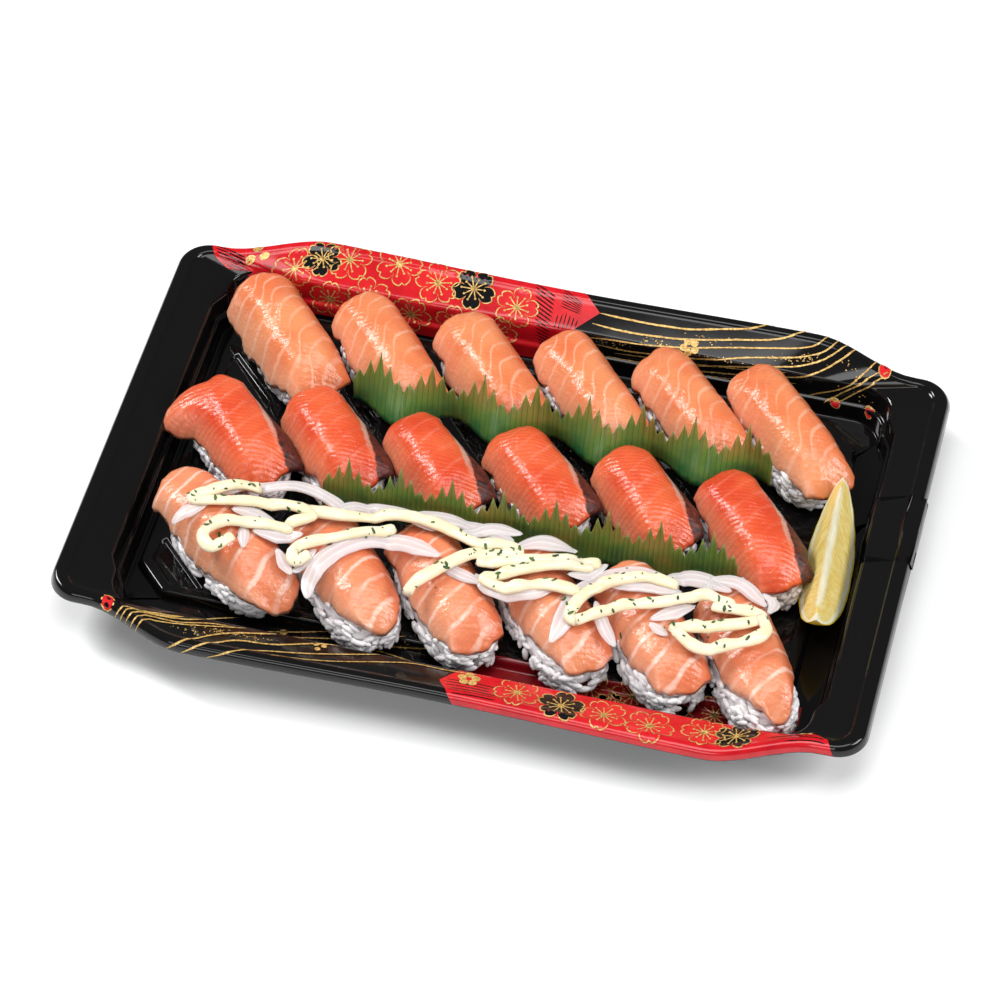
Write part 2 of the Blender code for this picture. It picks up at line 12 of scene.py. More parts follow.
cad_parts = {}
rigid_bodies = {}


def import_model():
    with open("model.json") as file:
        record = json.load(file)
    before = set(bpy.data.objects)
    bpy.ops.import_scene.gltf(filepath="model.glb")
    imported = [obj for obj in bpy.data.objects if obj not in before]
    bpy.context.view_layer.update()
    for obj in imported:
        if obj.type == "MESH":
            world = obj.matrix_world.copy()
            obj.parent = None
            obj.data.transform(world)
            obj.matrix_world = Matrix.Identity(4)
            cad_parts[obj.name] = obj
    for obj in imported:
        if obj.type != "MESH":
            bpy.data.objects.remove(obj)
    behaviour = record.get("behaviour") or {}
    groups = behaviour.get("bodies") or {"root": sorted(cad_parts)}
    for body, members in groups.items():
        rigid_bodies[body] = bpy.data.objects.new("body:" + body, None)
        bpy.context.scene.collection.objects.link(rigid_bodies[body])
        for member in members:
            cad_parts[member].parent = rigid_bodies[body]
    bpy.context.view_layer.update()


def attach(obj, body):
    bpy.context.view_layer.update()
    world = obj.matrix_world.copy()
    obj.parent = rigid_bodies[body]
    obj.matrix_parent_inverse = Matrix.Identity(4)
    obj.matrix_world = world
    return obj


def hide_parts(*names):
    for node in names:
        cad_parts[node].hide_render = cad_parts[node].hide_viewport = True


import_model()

CAMERA_TARGET, CAMERA_DISTANCE = Vector((-0.00541, 0.00962, 0.0)), 1.535
CAMERA_TURN, CAMERA_RISE, CAMERA_LENS = 14.25, 50.69, 153.8

# Sizes in metres, as in the solids.
TRAY_LENGTH, STRAIGHT_WIDTH, RIM_HEIGHT, SHEET = 0.290, 0.172, 0.022, 0.0008
SIDE_BULGE, SIDE_DIP = 0.012, 0.0015
BULGE_FROM, BULGE_TO, BULGE_SIDES = 0.092, 0.130, (0.07, 0.08)
SKIRT_DROP, SKIRT_FLARE = 0.0034, 0.0008
LIP_AT_ENDS, LIP_AT_SIDES, LIP_ROUND = 0.0055, 0.0040, 0.0009
RIM_CORNER, LIP_CORNER, WELL_CORNER, CORNER_JOG = 0.011, 0.008, 0.011, 0.0032
CREASE_HALF, CREASE_DROP = (0.1275, 0.080), 0.0052
LEDGE_HALF, LEDGE_HEIGHT, LEDGE_WIDTH, LEDGE_STEP = (0.1267, 0.0790), 0.008, 0.0012, 0.0004
FOOT_HALF = (0.1248, 0.0770)
JOG_FROM, JOG_TO = 0.061, 0.067
PLATEAU_X, PLATEAU_Y = (-0.121, 0.1135), (-0.063, 0.0725)
PLATEAU_CORNER, PLATEAU_TOP, PLATEAU_SLOPE = 0.0115, 0.0045, 0.0012
CELL_PITCH, CELL_HALF_WIDTH, CELL_HALF_SIDE = (0.041, 0.045), 0.0184, 0.0110
CELL_ORIGIN, CELL_DEPTH, CELL_BORDER, CELL_MIN_AREA = (-0.115, 0.0206), 0.0011, 0.0036, 0.00008
# Rounding of the sheet's folds, from the skirt's edge down to the foot of the well.
LEVEL_ROUNDS = (0.0007, 0.0008, 0.0005, 0.0006, 0.0013, 0.0005, 0.0005, 0.0016)
FLOOR_EDGE, FLOOR_EDGE_CORNER = 0.0009, 0.0005
# Insets and heights of the raised floor's flank, and insets and shares of depth of a cell's flank.
FLANK = ((-PLATEAU_SLOPE - 0.0003, SHEET), (-PLATEAU_SLOPE + 0.0002, SHEET + 0.0006),
         (-0.0004, PLATEAU_TOP - 0.0009), (-0.0001, PLATEAU_TOP - 0.0003), (0.0006, PLATEAU_TOP))
CELL_FLANK = ((0.0001, 0.12), (0.0009, 0.88), (0.0013, 1.0))
CELL_RIM = -0.0003
MERGE = 0.00001

# The print: where fields and lines end on the skirt, in millimetres, how far in the sheet's section goes,
# and how far each layer stands off the sheet.
FIELD_FOOT, LINE_FOOT = -2.3, -2.2
SECTION_END = 0.050
FIELD_LIFT, PETAL_LIFT, HATCH_LIFT = 0.00010, 0.00014, 0.00015
BLACK_LIFT, GOLD_LIFT, TOP_LIFT = 0.00018, 0.00023, 0.00028

GAP = 0.0003
FLOOR = PLATEAU_TOP + GAP
RICE_HEIGHT, RICE_HALF = 0.0175, (0.0250, 0.0117)
FULL_SLICE = 0.056
SIDE_GRAINS, SHOULDER_GRAINS = 230, 80
GRAIN_HALF, GRAIN_BEND, GRAIN_OUT = (0.0028, 0.00130, 0.00120), 14.0, 0.0004
# The grains stand out a little from under the slices, towards the diner.
RICE_SHIFT, RICE_SHIFT_BEHIND = (0.0012, -0.0016), (0.0006, -0.0008)
# How far the core stays under the saddle and over the floor, and how square its plan is.
CORE_DROP, CORE_LIFT, ROUNDNESS = 0.0006, 0.0001, 2 / 3
SADDLE_HALF, END_DROP, SIDE_DROP = (0.025, 0.011), (0.03, 0.27), 0.30
SLICE_THICKNESS, SLICE_EDGE, SLICE_ROUND, SLICE_TAPER = 0.0050, 0.0020, 0.45, 0.05
SLICE_GRID = (72, 36)
FAT_PITCH, RIB_PITCH = 0.0078, 0.0021

# Each slice: centre x, centre y, turn from -Y towards +X in degrees, length, width,
# and how much its near end narrows to a point.
ROWS = {
    "far": [(-0.0948, 0.0507, 42, 0.058, 0.0296, 0.06), (-0.0567, 0.0510, 41, 0.0565, 0.0268, 0.0),
            (-0.0180, 0.0511, 41, 0.0565, 0.0272, 0.06), (0.0190, 0.0512, 42, 0.0565, 0.0262, 0.0),
            (0.0566, 0.0514, 43, 0.058, 0.0256, 0.1), (0.0917, 0.0512, 43, 0.061, 0.0248, 0.04)],
    "mid": [(-0.0990, 0.0012, 43, 0.05, 0.0262, 0.0), (-0.0646, 0.0050, 41, 0.048, 0.0272, 0.08),
            (-0.0268, 0.0030, 42, 0.046, 0.0253, 0.0), (0.0108, 0.0060, 43, 0.046, 0.0272, 0.05),
            (0.0495, 0.0056, 41, 0.048, 0.0274, 0.2), (0.0885, 0.0014, 38, 0.054, 0.0260, 0.15)],
    "near": [(-0.0893, -0.0454, 51, 0.067, 0.0272, 0.18), (-0.0446, -0.0498, 41, 0.058, 0.0268, 0.4),
             (-0.0092, -0.0484, 39, 0.0565, 0.0268, 0.08), (0.0292, -0.0488, 41, 0.0555, 0.0264, 0.16),
             (0.0642, -0.0488, 38, 0.056, 0.0266, 0.1), (0.0994, -0.0518, 33, 0.057, 0.0258, 0.55)]}
POINT_POWER = 2.2

DIVIDER_THICKNESS, DIVIDER_BASE, DIVIDER_VALLEY = 0.0003, 0.0145, 0.0108
TEETH_PER_HILL, TOOTH_NOTCH = (0.35, 0.68, 1.0, 0.66, 0.33), 0.45
WAVE_PITCH, WAVE_AT_TIPS = 0.037, 0.2
DIVIDERS = {
    "leaf_far": ((-0.0655, 0.0268), (0.0890, 0.0258), 8, 0.0245, 21, 0.0045),
    "leaf_near": ((-0.0630, -0.0208), (0.0870, -0.0213), 8, 0.0242, 14, 0.0004)}

LEMON_LENGTH, LEMON_RADIUS, LEMON_SECTOR = 0.066, 0.0205, 50
LEMON_PLACE = (0.1162, -0.002, 3)
LEMON_BELLY, LEMON_POINT, LEMON_TIP = 2.3, 0.62, 0.985

# How the topping sags along and across a slice, the least share of its height, and how far it lies level.
DRAPE_END_DROP, DRAPE_SIDE_DROP = (0.03, 0.25), 0.17
DRAPE_LEAST, DRAPE_REACH, DRAPE_LIFT = (0.35, 0.85), (0.004, 0.006), 0.0010
ONION_WIDTH, ONION_WIDER, ONION_THICKNESS, ONION_LIFT = 0.0050, 0.0007, 0.0009, 0.00004
DRESSING_WIDTH, DRESSING_HEIGHT, DRESSING_LIFT = 0.0046, 0.0031, (0.0003, 0.00005)
# Scraps of parsley and their half lengths in millimetres.
FLAKES, FLAKE_HALF = 150, (0.35, 0.45, 0.6, 0.75, 1.0)
# Plan points in millimetres of the onion slices and of the strokes of dressing.
ONION_SLICES = [
    [(-97, -35), (-87, -27), (-71, -23), (-59, -26), (-49, -32)], [(-109, -50), (-106, -46), (-98, -39)],
    [(-90, -40), (-83, -40), (-73, -41)], [(-80, -48), (-71, -47), (-62, -45)], [(-84, -44), (-81, -56)],
    [(-70, -52), (-62, -61)], [(-56, -50), (-62, -60)],
    [(-54, -70), (-55, -62), (-51, -52), (-42, -43), (-28, -40), (-13, -43)],
    [(-57, -33), (-47, -27), (-37, -26), (-28, -27), (-18, -32)],
    [(-31, -28), (-18, -26), (-4, -26), (10, -30)], [(-10, -31), (1, -26), (12, -26)],
    [(10, -32), (20, -27), (32, -27)], [(-14, -45), (-6, -48), (4, -51)],
    [(0, -47), (7, -52), (20, -51), (29, -46)], [(31, -40), (37, -38), (44, -32)],
    [(32, -69), (34, -61), (36, -49), (43, -39), (52, -34), (66, -32)], [(43, -48), (48, -57), (54, -64)],
    [(46, -41), (58, -38), (72, -38)], [(56, -31), (57, -36)], [(63, -36), (70, -30), (78, -30), (88, -33)],
    [(80, -28), (79, -37)], [(79, -29), (90, -29), (101, -37)], [(63, -53), (71, -57)],
    [(63, -52), (71, -46), (77, -41)], [(98, -31), (103, -34), (102, -40)]]
DRESSING_STROKES = [
    [(-82, -27), (-93, -31), (-104, -40), (-88, -37), (-72, -34), (-61, -37), (-70, -43)],
    [(-66, -43), (-78, -45), (-90, -47), (-96, -54), (-91, -59), (-85, -52)],
    [(-68, -34), (-61, -35), (-47, -34), (-33, -29), (-19, -30), (-4, -34), (6, -33), (13, -35), (6, -38)],
    [(-31, -35), (-46, -42), (-57, -48), (-64, -52), (-62, -56), (-57, -53)],
    [(9, -37), (-3, -40), (-14, -51), (-20, -58), (-20, -61)],
    [(-1, -43), (17, -38), (33, -34), (42, -33)],
    [(40, -34), (23, -39), (4, -49), (12, -51), (25, -47), (38, -47)],
    [(70, -36), (55, -36), (41, -45), (36, -57), (40, -60)],
    [(38, -60), (50, -51), (67, -44), (79, -38), (91, -41)],
    [(82, -42), (100, -42), (95, -47), (80, -52), (70, -55)],
    [(72, -55), (82, -60), (98, -54), (103, -48), (99, -42)]]


# Camera, light and floor.

def light_and_camera():
    turn, rise = math.radians(CAMERA_TURN), math.radians(CAMERA_RISE)
    back = Vector((math.sin(turn) * math.cos(rise), -math.cos(turn) * math.cos(rise), math.sin(rise)))
    bpy.ops.object.camera_add(location=CAMERA_TARGET + back * CAMERA_DISTANCE)
    camera = bpy.context.object
    camera.rotation_euler = (-back).to_track_quat("-Z", "Y").to_euler()
    camera.data.sensor_width, camera.data.lens = 36.0, CAMERA_LENS
    camera.data.clip_start = 0.05
    bpy.context.scene.camera = camera
    softbox("key softbox", (-0.85, 0.30, 0.85), (0.32, 0.42), 11.0)
    softbox("overhead softbox", (0.10, -0.10, 1.25), (1.00, 0.60), 8.5)
    softbox("side softbox", (0.95, -0.05, 0.70), (0.40, 0.60), 8.0)
    softbox("front softbox", (-0.15, -1.10, 0.60), (1.00, 0.45), 5.5)
    world = bpy.data.worlds.new("pale studio")
    bpy.context.scene.world = world
    world.use_nodes = True
    sky = world.node_tree.nodes["Background"]
    sky.inputs["Color"].default_value = (0.93, 0.96, 1.0, 1.0)
    sky.inputs["Strength"].default_value = 0.14
    bpy.context.scene.view_settings.view_transform = "Standard"
    bpy.ops.mesh.primitive_plane_add(size=6.0, location=(0.0, 0.0, -0.0004))
    floor = bpy.context.object
    floor.name = "pale_floor"
    floor.data.materials.append(finish("pale floor", (0.93, 0.93, 0.93), 0.8)[0])


def softbox(name, place, size, power):
    bpy.ops.object.light_add(type="AREA", location=place)
    lamp = bpy.context.object
    lamp.name = name
    lamp.rotation_euler = (Vector((0, 0, 0.02)) - Vector(place)).to_track_quat("-Z", "Y").to_euler()
    lamp.data.shape = "RECTANGLE"
    lamp.data.size, lamp.data.size_y = size
    lamp.data.energy = power


# Finishes.

def finish(name, colour, roughness, **sockets):
    """A new material with its constants set on its shader."""
    made = bpy.data.materials.new(name)
    made.use_nodes = True
    shader = made.node_tree.nodes["Principled BSDF"]
    shader.inputs["Base Color"].default_value = (*colour, 1.0)
    shader.inputs["Roughness"].default_value = roughness
    for socket, value in sockets.items():
        shader.inputs[socket.replace("_", " ")].default_value = value
    return made, made.node_tree, shader


def add(tree, kind, inputs=None, **settings):
    """A node with its settings, and its inputs set or linked."""
    node = tree.nodes.new("ShaderNode" + kind)
    for name, value in settings.items():
        setattr(node, name, value)
    for socket, value in (inputs or {}).items():
        if isinstance(value, bpy.types.NodeSocket):
            tree.links.new(value, node.inputs[socket])
        else:
            node.inputs[socket].default_value = value
    return node


def grain(tree, scale, detail=2.0, roughness=0.5, vector=None):
    """The height of a noise on the object's own coordinates."""
    place = vector or add(tree, "TexCoord").outputs["Object"]
    return add(tree, "TexNoise", {"Vector": place, "Scale": scale, "Detail": detail,
                                  "Roughness": roughness}).outputs["Fac"]


def maths(tree, operation, first, second=0.0, third=0.0):
    return add(tree, "Math", {0: first, 1: second, 2: third}, operation=operation).outputs[0]


def sine(tree, turns):
    return maths(tree, "SINE", maths(tree, "MULTIPLY", turns, math.tau))


def ramp(tree, value, stops):
    """A colour ramp: stops are (position, grey level or colour)."""
    node = add(tree, "ValToRGB", {"Fac": value})
    elements = node.color_ramp.elements
    while len(elements) < len(stops):
        elements.new(0.5)
    for element, (position, colour) in zip(elements, stops):
        element.position = position
        element.color = (*colour, 1.0) if isinstance(colour, tuple) else (colour, colour, colour, 1.0)
    return node.outputs["Color"]


def blend(tree, share, first, second):
    inputs = {0: share}
    for socket, value in ((6, first), (7, second)):
        inputs[socket] = (*value, 1.0) if isinstance(value, tuple) else value
    return add(tree, "Mix", inputs, data_type="RGBA").outputs[2]


def colour_by(tree, shader, value, stops):
    """Colour a shader by a ramp."""
    tree.links.new(ramp(tree, value, stops), shader.inputs["Base Color"])


def relief(tree, shader, height, strength, distance):
    bump = add(tree, "Bump", {"Height": height, "Strength": strength, "Distance": distance})
    tree.links.new(bump.outputs["Normal"], shader.inputs["Normal"])


def attribute(tree, name):
    return add(tree, "Attribute", attribute_name=name).outputs["Vector"]


def salmon_finish(name, flesh, deep, pale, fat, lines, grooves, seared=False):
    """Wet salmon: fat lines and muscle grooves follow the numbers kept in the cut attribute. The right
    flank is deepened as painted shade, the left edge is paled partly as painted light, and the grooves'
    hollows are darkened as painted shade.
    """
    made, tree, shader = finish(name, flesh, 0.22, Specular_IOR_Level=0.55,
                                Subsurface_Weight=0.12, Subsurface_Scale=0.004,
                                Subsurface_Radius=(1.0, 0.35, 0.2))
    split = add(tree, "SeparateXYZ", {0: attribute(tree, "cut")})
    wander = grain(tree, 110.0, 3.0)
    number = maths(tree, "MULTIPLY_ADD", wander, 0.45, split.outputs[0])
    line = maths(tree, "MULTIPLY", ramp(tree, sine(tree, number), [(0.70, 0.0), (0.985, 1.0)]),
                 ramp(tree, grain(tree, 70.0), [(0.38, 0.15), (0.58, 1.0)]))
    fold = maths(tree, "MULTIPLY_ADD", wander, 0.9, split.outputs[1])
    groove = maths(tree, "MULTIPLY_ADD", sine(tree, fold), 0.5, 0.5)
    colour = blend(tree, ramp(tree, grain(tree, 48.0, 3.0), [(0.38, 0.0), (0.66, 1.0)]), flesh, deep)
    across = maths(tree, "MULTIPLY_ADD", split.outputs[2], 0.5, 0.5)
    # Deeper orange towards the right flank on plain and topped slices: painted shade on the side turned
    # away from the key light. Seared slices get none, as their right side is charred.
    colour = blend(tree, ramp(tree, across, [(0.66, 0.0), (0.97, 0.0 if seared else 0.75)]), colour, deep)
    # Paler pink along the left edge: partly the flesh's own pinker edge, partly painted light on the lit
    # left flank.
    colour = blend(tree, ramp(tree, across, [(0.02, 0.65), (0.20, 0.0)]), colour, pale)
    # Deep colour in the hollows of the muscle grooves: painted shade in the recesses.
    hollow = maths(tree, "MULTIPLY", ramp(tree, groove, [(0.0, 1.0), (0.5, 0.0)]), grooves)
    colour = blend(tree, hollow, colour, deep)
    colour = blend(tree, maths(tree, "MULTIPLY", line, lines), colour, fat)
    speck = ramp(tree, grain(tree, 900.0, 2.0, 0.7), [(0.60, 0.0), (0.74, 1.0)])
    colour = blend(tree, maths(tree, "MULTIPLY", speck, 0.12), colour, fat)
    if seared:
        colour = sear(tree, shader, colour)
    tree.links.new(colour, shader.inputs["Base Color"])
    wet = maths(tree, "MULTIPLY", grain(tree, 560.0, 3.0, 0.6), 1.2)
    raised = maths(tree, "MULTIPLY_ADD", line, 0.25, wet)
    height = maths(tree, "MULTIPLY_ADD", groove, 0.9 * grooves + 0.1, raised)
    relief(tree, shader, height, 0.6, 0.0005)
    return made


def sear(tree, shader, colour):
    """A pale strip of fat and then charred skin along one side, by the numbers of the skin attribute."""
    split = add(tree, "SeparateXYZ", {0: attribute(tree, "skin")})
    ragged = maths(tree, "MULTIPLY_ADD", grain(tree, 300.0, 4.0, 0.6), 0.14, split.outputs[0])
    pale = maths(tree, "MULTIPLY", ramp(tree, ragged, [(0.50, 0.0), (0.55, 1.0)]), split.outputs[1])
    colour = blend(tree, maths(tree, "MULTIPLY", pale, 0.85), colour, (0.52, 0.40, 0.33))
    scorch = ramp(tree, grain(tree, 420.0, 4.0, 0.7),
                  [(0.36, (0.010, 0.003, 0.003)), (0.54, (0.080, 0.010, 0.005)),
                   (0.70, (0.20, 0.028, 0.012))])
    char = ramp(tree, ragged, [(0.60, 0.0), (0.64, 1.0)])
    tree.links.new(maths(tree, "MULTIPLY_ADD", char, 0.30, 0.22), shader.inputs["Roughness"])
    return blend(tree, char, colour, scorch)


def plain_finishes():
    """Materials of the tray, its print, the rice, the onion, the dressing and the parsley."""
    made = {}
    made["tray"], tree, shader = finish("black tray sheet", (0.0045, 0.0040, 0.0040), 0.07,
                                        Specular_IOR_Level=0.4)
    relief(tree, shader, grain(tree, 22.0, 2.0), 0.10, 0.0012)
    for name, colour, deep, dullness in (
            ("red", (0.62, 0.010, 0.016), (0.42, 0.004, 0.010), 0.16),
            ("petal red", (0.66, 0.018, 0.020), (0.46, 0.006, 0.012), 0.16),
            ("shadow red", (0.34, 0.008, 0.015), (0.22, 0.005, 0.010), 0.20),
            ("print black", (0.006, 0.005, 0.006), (0.003, 0.003, 0.003), 0.10)):
        made[name], tree, shader = finish(name, colour, dullness)
        cloud = ramp(tree, grain(tree, 60.0, 6.0, 0.8), [(0.35, 0.0), (0.65, 1.0)])
        tree.links.new(blend(tree, cloud, colour, deep), shader.inputs["Base Color"])
    made["gold"], tree, shader = finish("print gold", (0.62, 0.40, 0.12), 0.34, Metallic=0.25)
    colour_by(tree, shader, grain(tree, 1100.0, 2.0, 0.7),
              [(0.36, (0.34, 0.18, 0.04)), (0.55, (0.68, 0.44, 0.13)), (0.70, (0.82, 0.62, 0.28))])
    made["rice"], tree, shader = finish("boiled rice", (0.86, 0.82, 0.83), 0.28,
                                        Subsurface_Weight=0.2, Subsurface_Scale=0.0015,
                                        Subsurface_Radius=(1.0, 0.9, 0.9))
    colour_by(tree, shader, grain(tree, 260.0, 2.0),
              [(0.35, (0.78, 0.73, 0.75)), (0.6, (0.91, 0.88, 0.88))])
    made["onion"], tree, shader = finish("raw onion", (0.84, 0.72, 0.70), 0.14, Alpha=0.58,
                                         Subsurface_Weight=0.2, Subsurface_Scale=0.003)
    split = add(tree, "SeparateXYZ", {0: attribute(tree, "cut")})
    vein = maths(tree, "SINE", maths(tree, "MULTIPLY_ADD", grain(tree, 150.0), 3.0,
                                     maths(tree, "MULTIPLY", split.outputs[1], 9.0)))
    colour = blend(tree, ramp(tree, vein, [(0.2, 0.0), (0.9, 1.0)]), (0.82, 0.71, 0.70), (0.93, 0.88, 0.88))
    tree.links.new(colour, shader.inputs["Base Color"])
    relief(tree, shader, vein, 0.25, 0.0002)
    made["dressing"], tree, shader = finish("creamy dressing", (0.86, 0.74, 0.46), 0.20,
                                            Subsurface_Weight=0.25, Subsurface_Scale=0.003,
                                            Subsurface_Radius=(1.0, 0.8, 0.5))
    colour_by(tree, shader, grain(tree, 120.0, 3.0),
              [(0.35, (0.79, 0.69, 0.45)), (0.62, (0.87, 0.78, 0.56))])
    relief(tree, shader, grain(tree, 330.0, 2.0), 0.25, 0.0004)
    made["parsley"], tree, shader = finish("chopped parsley", (0.03, 0.09, 0.02), 0.5)
    colour_by(tree, shader, grain(tree, 400.0), [(0.35, (0.010, 0.035, 0.012)), (0.62, (0.07, 0.17, 0.03))])
    return made


def leaf_finish():
    """Green film, browner towards some teeth, with thin dark lines across its length; its green is darker
    at the foot as painted shade and lighter and yellower up towards the teeth as painted light.
    """
    made, tree, shader = finish("green leaf film", (0.06, 0.2, 0.03), 0.30, Alpha=0.94,
                                Subsurface_Weight=0.1, Subsurface_Scale=0.004)
    split = add(tree, "SeparateXYZ", {0: attribute(tree, "cut")})
    rib = sine(tree, split.outputs[0])
    tone = grain(tree, 75.0, 3.0)
    height = split.outputs[1]
    # The green lightens with height: painted shade at the foot down among the nigiri, painted light towards
    # the teeth.
    green = ramp(tree, maths(tree, "MULTIPLY_ADD", tone, 1.1, maths(tree, "MULTIPLY", height, 0.45)),
                 [(0.38, (0.018, 0.115, 0.036)), (0.72, (0.105, 0.200, 0.030)),
                  (1.0, (0.240, 0.200, 0.040))])
    colour = blend(tree, ramp(tree, rib, [(0.90, 0.0), (0.97, 0.8)]), green, (0.004, 0.085, 0.045))
    tree.links.new(colour, shader.inputs["Base Color"])
    relief(tree, shader, maths(tree, "MULTIPLY", rib, 0.5), 0.3, 0.0003)
    return made


def lemon_finish():
    """Cut lemon: core, juicy flesh with rays, pith and rind, by distance from the core."""
    made, tree, shader = finish("cut lemon", (0.83, 0.65, 0.2), 0.28,
                                Subsurface_Weight=0.25, Subsurface_Scale=0.004,
                                Subsurface_Radius=(1.0, 0.8, 0.3))
    cut = attribute(tree, "cut")
    split = add(tree, "SeparateXYZ", {0: cut})
    depth = maths(tree, "MULTIPLY_ADD", grain(tree, 150.0, 3.0), 0.05, split.outputs[0])
    drawn_out = add(tree, "Mapping", {"Vector": cut, "Scale": (5.0, 1.0, 75.0)})
    rays = grain(tree, 1.0, 3.0, 0.6, drawn_out.outputs[0])
    flesh = ramp(tree, rays, [(0.34, (0.74, 0.50, 0.10)), (0.50, (0.88, 0.68, 0.20)),
                              (0.66, (0.94, 0.83, 0.42))])
    body = ramp(tree, depth, [(0.10, 1.0), (0.24, 0.0), (0.80, 0.0), (0.86, 1.0)])
    colour = blend(tree, body, flesh, (0.90, 0.87, 0.64))
    colour = blend(tree, ramp(tree, depth, [(0.955, 0.0), (0.985, 1.0)]), colour, (0.78, 0.56, 0.03))
    tree.links.new(colour, shader.inputs["Base Color"])
    relief(tree, shader, maths(tree, "MULTIPLY_ADD", rays, 0.8, grain(tree, 700.0)), 0.35, 0.0004)
    return made


# Help with meshes.

def read_points(piece):
    flat = np.empty(len(piece.data.vertices) * 3)
    piece.data.vertices.foreach_get("co", flat)
    return flat.reshape(-1, 3)


def put_points(piece, points):
    piece.data.vertices.foreach_set("co", np.asarray(points, float).ravel())
    piece.data.update()


def keep_cut(piece, values, name="cut"):
    """Keep three numbers at each point, for the pattern of the finish."""
    layer = piece.data.attributes.new(name, "FLOAT_VECTOR", "POINT")
    layer.data.foreach_set("vector", np.asarray(values, float).ravel())


def apply_modifier(piece, kind, **settings):
    bpy.context.view_layer.objects.active = piece
    modifier = piece.modifiers.new(kind.lower(), kind)
    for name, value in settings.items():
        setattr(modifier, name, value)
    bpy.ops.object.modifier_apply(modifier=modifier.name)


def powered(value, power):
    return math.copysign(abs(value) ** power, value)


def rough(x, y, z, scale, seed=0.0):
    """Smooth noise from -1 to 1 with features of about the given size."""
    return noise.noise(Vector((x / scale + seed, y / scale - seed, z / scale + 0.37 * seed)))


def hand_over(piece, name, nodes, material):
    """Name and finish a piece, ride it on the tray and let it stand for the solids it replaces."""
    piece.name = piece.data.name = name
    piece.data.materials.clear()
    piece.data.materials.append(material)
    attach(piece, "root")
    if nodes:
        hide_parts(*nodes)


def add_form(segments, rings):
    """A closed ball whose rings become stations: gives it with stations from 0 to 1 and angles round it."""
    bpy.ops.object.select_all(action="DESELECT")
    bpy.ops.mesh.primitive_uv_sphere_add(segments=segments, ring_count=rings, radius=1.0)
    form = bpy.context.object
    ball = read_points(form)
    along = np.arccos(np.clip(ball[:, 2], -1, 1)) / math.pi
    return form, along, np.arctan2(ball[:, 1], ball[:, 0])


def add_grid(columns, rows):
    bpy.ops.object.select_all(action="DESELECT")
    bpy.ops.mesh.primitive_grid_add(x_subdivisions=columns, y_subdivisions=rows, size=2.0)
    return bpy.context.object


def edit_all(piece):
    """Open a piece alone for editing, with all of it selected."""
    bpy.ops.object.select_all(action="DESELECT")
    piece.select_set(True)
    bpy.context.view_layer.objects.active = piece
    bpy.ops.object.mode_set(mode="EDIT")
    bpy.ops.mesh.select_all(action="SELECT")


def turn_out(piece):
    """Make all faces point outwards."""
    edit_all(piece)
    bpy.ops.mesh.normals_make_consistent(inside=False)
    bpy.ops.object.mode_set(mode="OBJECT")
    bpy.ops.object.shade_smooth()


def join(pieces):
    bpy.ops.object.select_all(action="DESELECT")
    for piece in pieces:
        piece.select_set(True)
    bpy.context.view_layer.objects.active = pieces[0]
    bpy.ops.object.join()
    return pieces[0]


# The tray.

def smoothstep(low, high, value):
    t = min(max((value - low) / (high - low), 0.0), 1.0)
    return t * t * (3.0 - 2.0 * t)


def side_bulge(x):
    """How far the long sides stand out at x, with a slight dip at the middle."""
    out = 1.0 - smoothstep(BULGE_FROM, BULGE_TO, abs(x))
    middle = 1.0 - smoothstep(0.0, BULGE_FROM, abs(x))
    return out * SIDE_BULGE - middle * SIDE_DIP


def ring(half, corner, height, bulged=False, jog=0.0):
    """Points round the tray at one level, from the middle of the +X end."""
    points = [(half[0], y) for y in np.linspace(0.0, JOG_FROM, 5)] + [(half[0] - jog, JOG_TO)]
    centre_x, centre_y = half[0] - jog - corner, half[1] - corner
    for angle in np.radians(np.linspace(0.0, 90.0, 11)):
        points.append((centre_x + corner * math.cos(angle), centre_y + corner * math.sin(angle)))
    points += [(share * centre_x, half[1]) for share in
               [0.985, 0.95] + list(np.linspace(0.92, 0.64, 12)) + list(np.linspace(0.56, 0.0, 8))]
    if bulged:
        points = [(x, y + side_bulge(x) * smoothstep(*BULGE_SIDES, y)) for x, y in points]
    upper = points + [(-x, y) for x, y in reversed(points[:-1])]
    return np.array([(x, y, height) for x, y in upper + [(x, -y) for x, y in reversed(upper[1:-1])]])


